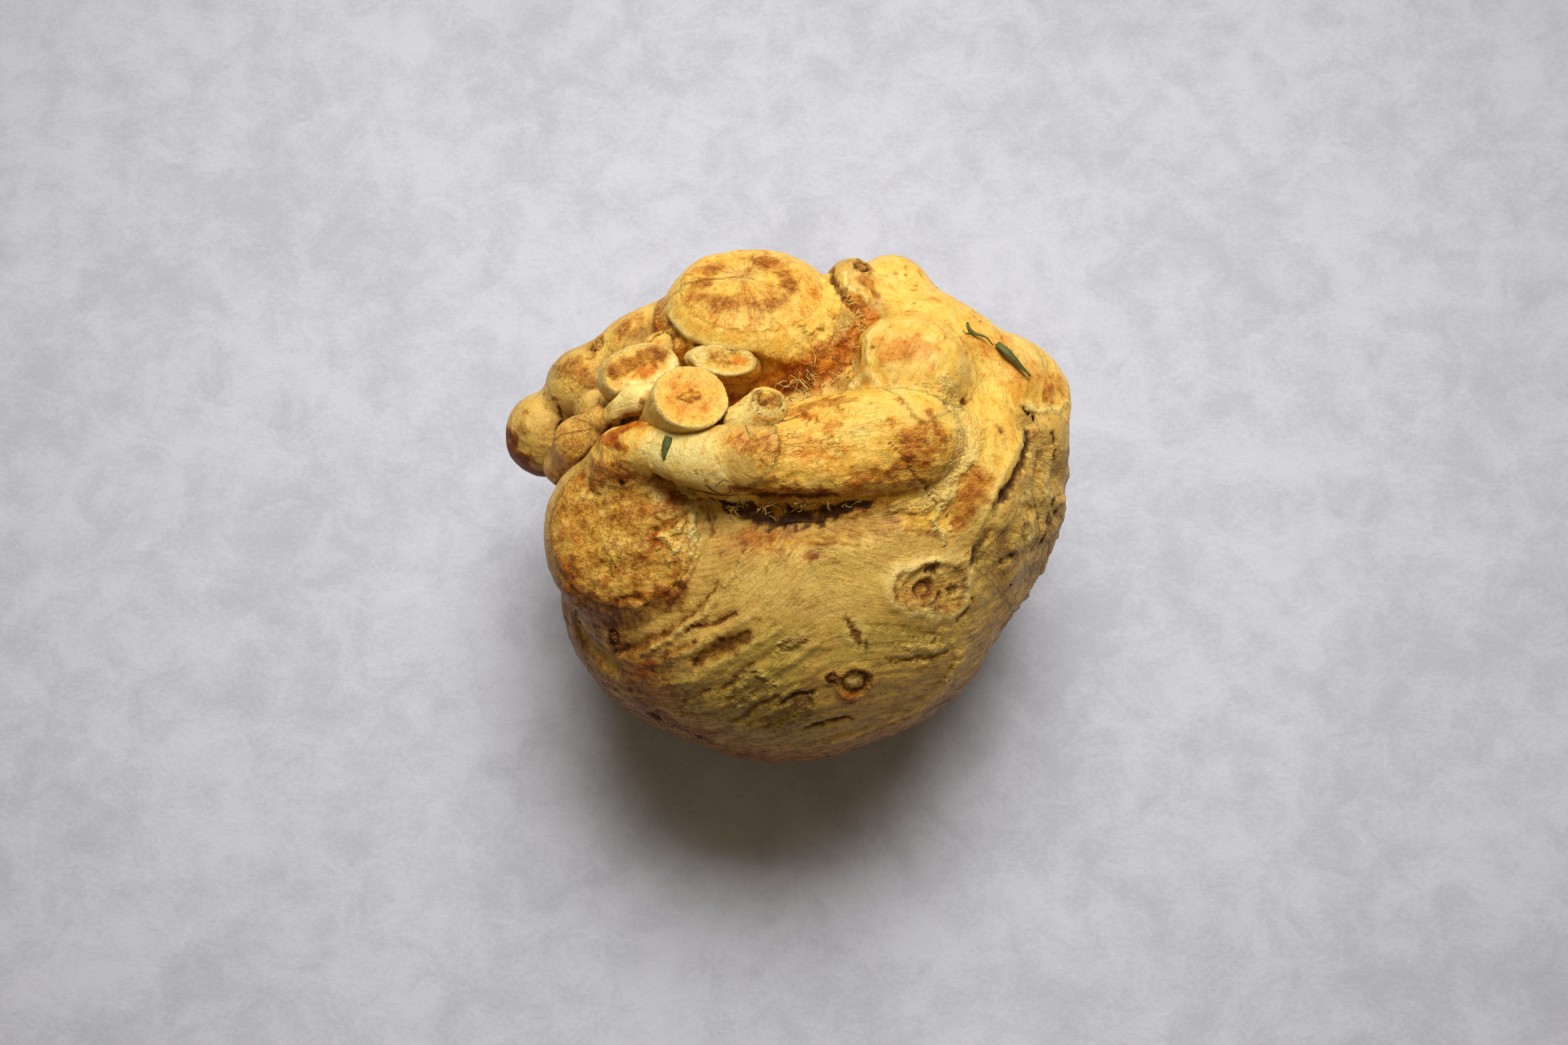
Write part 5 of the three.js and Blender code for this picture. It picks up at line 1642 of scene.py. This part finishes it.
class CeleriacSizes(bpy.types.PropertyGroup):
    """Sizes that a user would change."""

    grain: bpy.props.FloatProperty(
        name="Mesh grain", description="Side of the root's mesh cells", default=0.7 * MM, unit="LENGTH"
    )
    stalk_grain: bpy.props.FloatProperty(
        name="Stalk grain", description="Side of a stalk's mesh cells", default=0.4 * MM, unit="LENGTH"
    )
    view_distance: bpy.props.FloatProperty(
        name="View distance", description="From the camera to the middle of the root", default=0.467,
        unit="LENGTH",
    )
    view_rise: bpy.props.FloatProperty(
        name="View rise", description="How steeply the camera looks down", default=math.radians(75),
        unit="ROTATION",
    )
    lamp_power: bpy.props.FloatProperty(
        name="Lamp power", description="Power of the soft lamp", default=1.02, unit="POWER"
    )


class CeleriacColours(bpy.types.PropertyGroup):
    """Colours that a user would change."""

    skin: colour_setting("Skin", "The body's olive yellow skin", shade(228, 188, 92))
    skin_deep: colour_setting("Deep skin", "Where the skin is darker", shade(206, 162, 78))
    green: colour_setting("Green", "Green washes on the skin", shade(184, 166, 72))
    head: colour_setting("Head", "The smooth yellow skin of the shoots", shade(251, 212, 103))
    head_deep: colour_setting("Deep head", "Where a shoot is darker", shade(243, 185, 70))
    flesh: colour_setting("Flesh", "Pale bare flesh", shade(254, 232, 150))
    flesh_deep: colour_setting("Deep flesh", "Yellower bare flesh", shade(250, 216, 116))
    stain: colour_setting("Stain", "Light that a brown stain lets through", shade(215, 181, 134))
    stain_deep: colour_setting("Deep stain", "Light that a dark stain lets through", shade(162, 119, 66))
    orange: colour_setting("Orange", "Light that an orange brown spot lets through", shade(244, 192, 122))
    # This dark brown is earth in the folds, and is also laid as painted shade in crevices and under
    # overhangs.
    dirt: colour_setting("Dirt", "Earth in the folds", shade(58, 34, 11))
    leaf: colour_setting("Leaf", "Green leaf scraps", shade(98, 104, 34))
    floor: colour_setting("Floor", "The pale floor", shade(197, 199, 208))
    sky: colour_setting("Sky", "The weak light from all round", shade(238, 214, 176))


# Operators


def placed_piece(piece, material, node):
    """Rides a piece on the root's body, in place of a node where one is named."""
    piece.data.materials.append(material)
    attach(piece, "root")
    if node:
        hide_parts(node)
    return piece


def skin_in_box(field, node, step):
    low, high = (np.array(corner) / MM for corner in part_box(node))
    points, outward, faces = meshed(field, low - 2.5 * step, high + 4 * step, step)
    return Skin(field, points, outward, faces)


class CELERIAC_OT_root(bpy.types.Operator):
    """Grows the swollen root with its trimmed shoots"""

    bl_idname = "celeriac.root"
    bl_label = "Root"

    def execute(self, context):
        colours = context.scene.celeriac_colours
        skin = skin_in_box(root_distance, "root", context.scene.celeriac_sizes.grain / MM)
        dress_root(skin)
        material = skin_material("root skin", colours, opaque(colours.skin), opaque(colours.skin_deep))
        placed_piece(skin.placed("celeriac_root"), material, "root")
        return {"FINISHED"}


class CELERIAC_OT_stalks(bpy.types.Operator):
    """Stands the cut stalks, the buds and the leaf base in the crown"""

    bl_idname = "celeriac.stalks"
    bl_label = "Stalks and buds"

    def execute(self, context):
        colours = context.scene.celeriac_colours
        material = skin_material("stalk flesh", colours, opaque(colours.head), opaque(colours.head_deep))
        for stalk in STALKS:
            skin = skin_in_box(stalk.distance, stalk.name, context.scene.celeriac_sizes.stalk_grain / MM)
            stalk.dress(skin)
            skin.field = all_distance
            # Painted shade where a stalk stands close against the root and the other stalks.
            crevice_shade = skin.closeness()
            skin.tint(step_up(0.4, 0.95, crevice_shade), dirt=0.3, stain=0.7)
            placed_piece(skin.placed(f"celeriac_{stalk.name}"), material, stalk.name)
        return {"FINISHED"}


# Each scrap's strands: the path each lies along, its width, its thickness and the way it faces.
LEAF_SCRAPS = {
    "leaf_thread": (
        (((37.6, 34.6, 75.4), (38, 33, 76), (39.1, 32, 76), (41.4, 31.5, 75.2), (42.9, 30.1, 74.3)),
         0.8, 0.35, (0, 0, 1)),
        (((38.4, 32.4, 76), (37.2, 31.8, 76.4), (36.6, 32.6, 76.6)), 0.5, 0.25, (0, 0, 1)),
    ),
    "leaf_long": (
        (((43.9, 30.8, 73.4), (45.6, 29.2, 73.6), (47, 27.9, 73.2), (49, 26, 72.2), (50.9, 24.5, 70.9)),
         1.9, 0.6, (0.3, 0.2, 1)),
    ),
    "leaf_short": (
        (((-22.6, 6.2, 88), (-23, 4.9, 87.9), (-23.4, 3.4, 87.6), (-23.6, 1.8, 86.9)), 1.8, 0.5,
         (0, -0.2, 1)),
        (((-23.1, 4.6, 87.9), (-24.2, 3.4, 87.3)), 0.6, 0.3, (0, 0, 1)),
    ),
}


class CELERIAC_OT_leaves(bpy.types.Operator):
    """Lays the scraps of green leaf"""

    bl_idname = "celeriac.leaves"
    bl_label = "Leaf scraps"

    def execute(self, context):
        colours = context.scene.celeriac_colours
        dark = tuple(v * 0.55 for v in colours.leaf)
        material = strand_material("green leaf", colours.leaf, dark)
        for name, strands in LEAF_SCRAPS.items():
            made = [
                Strand(smooth_path(stops, 17), width, thickness, up)
                for stops, width, thickness, up in strands
            ]
            placed_piece(strand_mesh(f"celeriac_{name}", made, 8), material, name)
        return {"FINISHED"}


# Where fibres stand: a run through the crevice, how many, their length and how much they curl.
TUFTS = (
    (((1, 20, 76), (8, 21.5, 77), (14, 24, 78)), 46, 6, 0.45),
    (((14, 25, 79), (16, 30, 77), (15.6, 36, 76), (13, 42, 75)), 40, 4.5, 0.5),
    (((-14, -6, 80), (-6, -7, 80), (4, -8, 82), (14, -7, 83)), 40, 4, 0.6),
    (((-30, 14, 76), (-24, 17, 77), (-14, 19, 80), (-6, 17, 82)), 26, 3.4, 0.6),
    (((-44, 12, 62), (-46, 16, 58), (-50, 10, 50)), 14, 3, 0.5),
    (((-25, 7, 83), (-21, -1, 80), (-17.6, -7, 78)), 26, 1.8, 0.6),
    (((48, 19, 71), (52, 18, 67), (57, 19, 63)), 18, 1.6, 0.6),
)
# Thin dark hairs that lie in loops on the skin, each through these places.
HAIRS = (
    ((-15, -2, 86), (-12.4, -5, 84), (-10.6, -4, 85), (-11.4, -1.6, 87), (-13.4, -2.6, 86)),
    ((-19, -3.4, 84), (-15, -6.2, 82), (-10, -6.6, 83), (-5, -6.2, 84)),
    ((-10, 12, 86), (-9, 9, 87), (-7.6, 7, 88), (-6.6, 4.6, 89)),
    ((-3, -7.4, 82), (1, -9, 81), (4, -8, 83), (3, -6, 84)),
    ((-6.4, 8.2, 88.4), (0, 9.4, 89.2), (5, 11.4, 88.8)),
)


class CELERIAC_OT_fibres(bpy.types.Operator):
    """Grows thin fibres in the crevices and lays dark hairs on the skin"""

    bl_idname = "celeriac.fibres"
    bl_label = "Fibres and hairs"

    def execute(self, context):
        colours = context.scene.celeriac_colours
        rng = np.random.default_rng(11)
        strands = []
        for stops, count, length, curl in TUFTS:
            run = smooth_path(stops, 60)
            for _ in range(count):
                start = run[rng.integers(len(run))] + rng.normal(size=3) * (0.9, 0.9, 0.6)
                start = brought_to(root_distance, start[None])[0]
                outward = slope_of(root_distance, start[None])[0]
                way = outward + rng.normal(size=3) * 0.7 + np.array((0, 0, 0.5))
                path = wandering(rng, start - outward * 0.3, way, length * rng.uniform(0.5, 1.2), curl)
                strands.append(Strand(path, rng.uniform(0.16, 0.36), tip=0.3))
        pale = tuple(v * 0.85 for v in colours.flesh_deep)
        material = strand_material("fibres", pale, tuple(v * 0.5 for v in pale))
        placed_piece(strand_mesh("celeriac_fibres", strands, 5), material, None)
        hairs = []
        for stops in HAIRS:
            path = brought_to(root_distance, smooth_path(stops, 40), 0.1)
            hairs.append(Strand(path, 0.22, tip=0.4))
        material = strand_material("hairs", colours.dirt, tuple(v * 0.4 for v in colours.dirt))
        placed_piece(strand_mesh("celeriac_hairs", hairs, 5), material, None)
        return {"FINISHED"}


# The stage, in metres
FLOOR_SIDE = 6
LENS = 50  # in millimetres, as the sensor's width is
SENSOR_WIDTH = 36
SKY_STRENGTH = 0.18
LAMP_PLACE = (0.05, 0.34, 0.55)
LAMP_AIM = (0, 0.06, 0)  # from the middle of the root
LAMP_SIDES = (0.55, 0.45)
LAMP_SPREAD = math.radians(55)


class CELERIAC_OT_stage(bpy.types.Operator):
    """Sets the floor, the light and the camera"""

    bl_idname = "celeriac.stage"
    bl_label = "Stage"

    def execute(self, context):
        scene = context.scene
        sizes, colours = scene.celeriac_sizes, scene.celeriac_colours
        low, high = (Vector(corner) for corner in CAD_BOX)
        middle = Vector((0, 0, (low.z + high.z) / 2))
        bpy.ops.mesh.primitive_plane_add(size=FLOOR_SIDE)
        floor = context.object
        floor.name = "floor"
        floor.data.materials.append(floor_material(colours.floor))

        camera = bpy.data.objects.new("camera", bpy.data.cameras.new("camera"))
        scene.collection.objects.link(camera)
        camera.data.lens = LENS
        camera.data.sensor_width = SENSOR_WIDTH
        way = Vector((0, -math.cos(sizes.view_rise), math.sin(sizes.view_rise)))
        camera.location = middle + way * sizes.view_distance
        camera.rotation_euler = (-way).to_track_quat("-Z", "Y").to_euler()
        scene.camera = camera

        world = bpy.data.worlds.new("sky")
        world.use_nodes = True
        scene.world = world
        background = world.node_tree.nodes["Background"]
        background.inputs["Color"].default_value = opaque(colours.sky)
        background.inputs["Strength"].default_value = SKY_STRENGTH

        light = bpy.data.lights.new("soft lamp", "AREA")
        light.shape = "RECTANGLE"
        light.size, light.size_y = LAMP_SIDES
        light.spread = LAMP_SPREAD
        light.energy = sizes.lamp_power
        lamp = bpy.data.objects.new("soft lamp", light)
        lamp.location = LAMP_PLACE
        aim = middle + Vector(LAMP_AIM)
        lamp.rotation_euler = (aim - lamp.location).to_track_quat("-Z", "Y").to_euler()
        scene.collection.objects.link(lamp)
        scene.view_settings.view_transform = "Standard"
        return {"FINISHED"}


class CELERIAC_PT_panel(bpy.types.Panel):
    """Lists the pieces in the sidebar"""

    bl_label = "Celeriac Root"
    bl_idname = "CELERIAC_PT_panel"
    bl_space_type = "VIEW_3D"
    bl_region_type = "UI"
    bl_category = "Celeriac"

    def draw(self, context):
        for group in (context.scene.celeriac_sizes, context.scene.celeriac_colours):
            column = self.layout.column()
            for setting in group.bl_rna.properties.keys():
                if setting not in ("name", "rna_type"):
                    column.prop(group, setting)
        for operator in OPERATORS:
            self.layout.operator(operator.bl_idname)


OPERATORS = (CELERIAC_OT_stage, CELERIAC_OT_root, CELERIAC_OT_stalks, CELERIAC_OT_leaves, CELERIAC_OT_fibres)
CLASSES = (CeleriacSizes, CeleriacColours, *OPERATORS, CELERIAC_PT_panel)


def register():
    for cls in CLASSES:
        bpy.utils.register_class(cls)
    bpy.types.Scene.celeriac_sizes = bpy.props.PointerProperty(type=CeleriacSizes)
    bpy.types.Scene.celeriac_colours = bpy.props.PointerProperty(type=CeleriacColours)


def unregister():
    del bpy.types.Scene.celeriac_colours
    del bpy.types.Scene.celeriac_sizes
    for cls in reversed(CLASSES):
        bpy.utils.unregister_class(cls)


def main():
    register()
    bpy.ops.celeriac.stage()
    bpy.ops.celeriac.root()
    bpy.ops.celeriac.stalks()
    bpy.ops.celeriac.leaves()
    bpy.ops.celeriac.fibres()


if __name__ == "__main__":
    main()
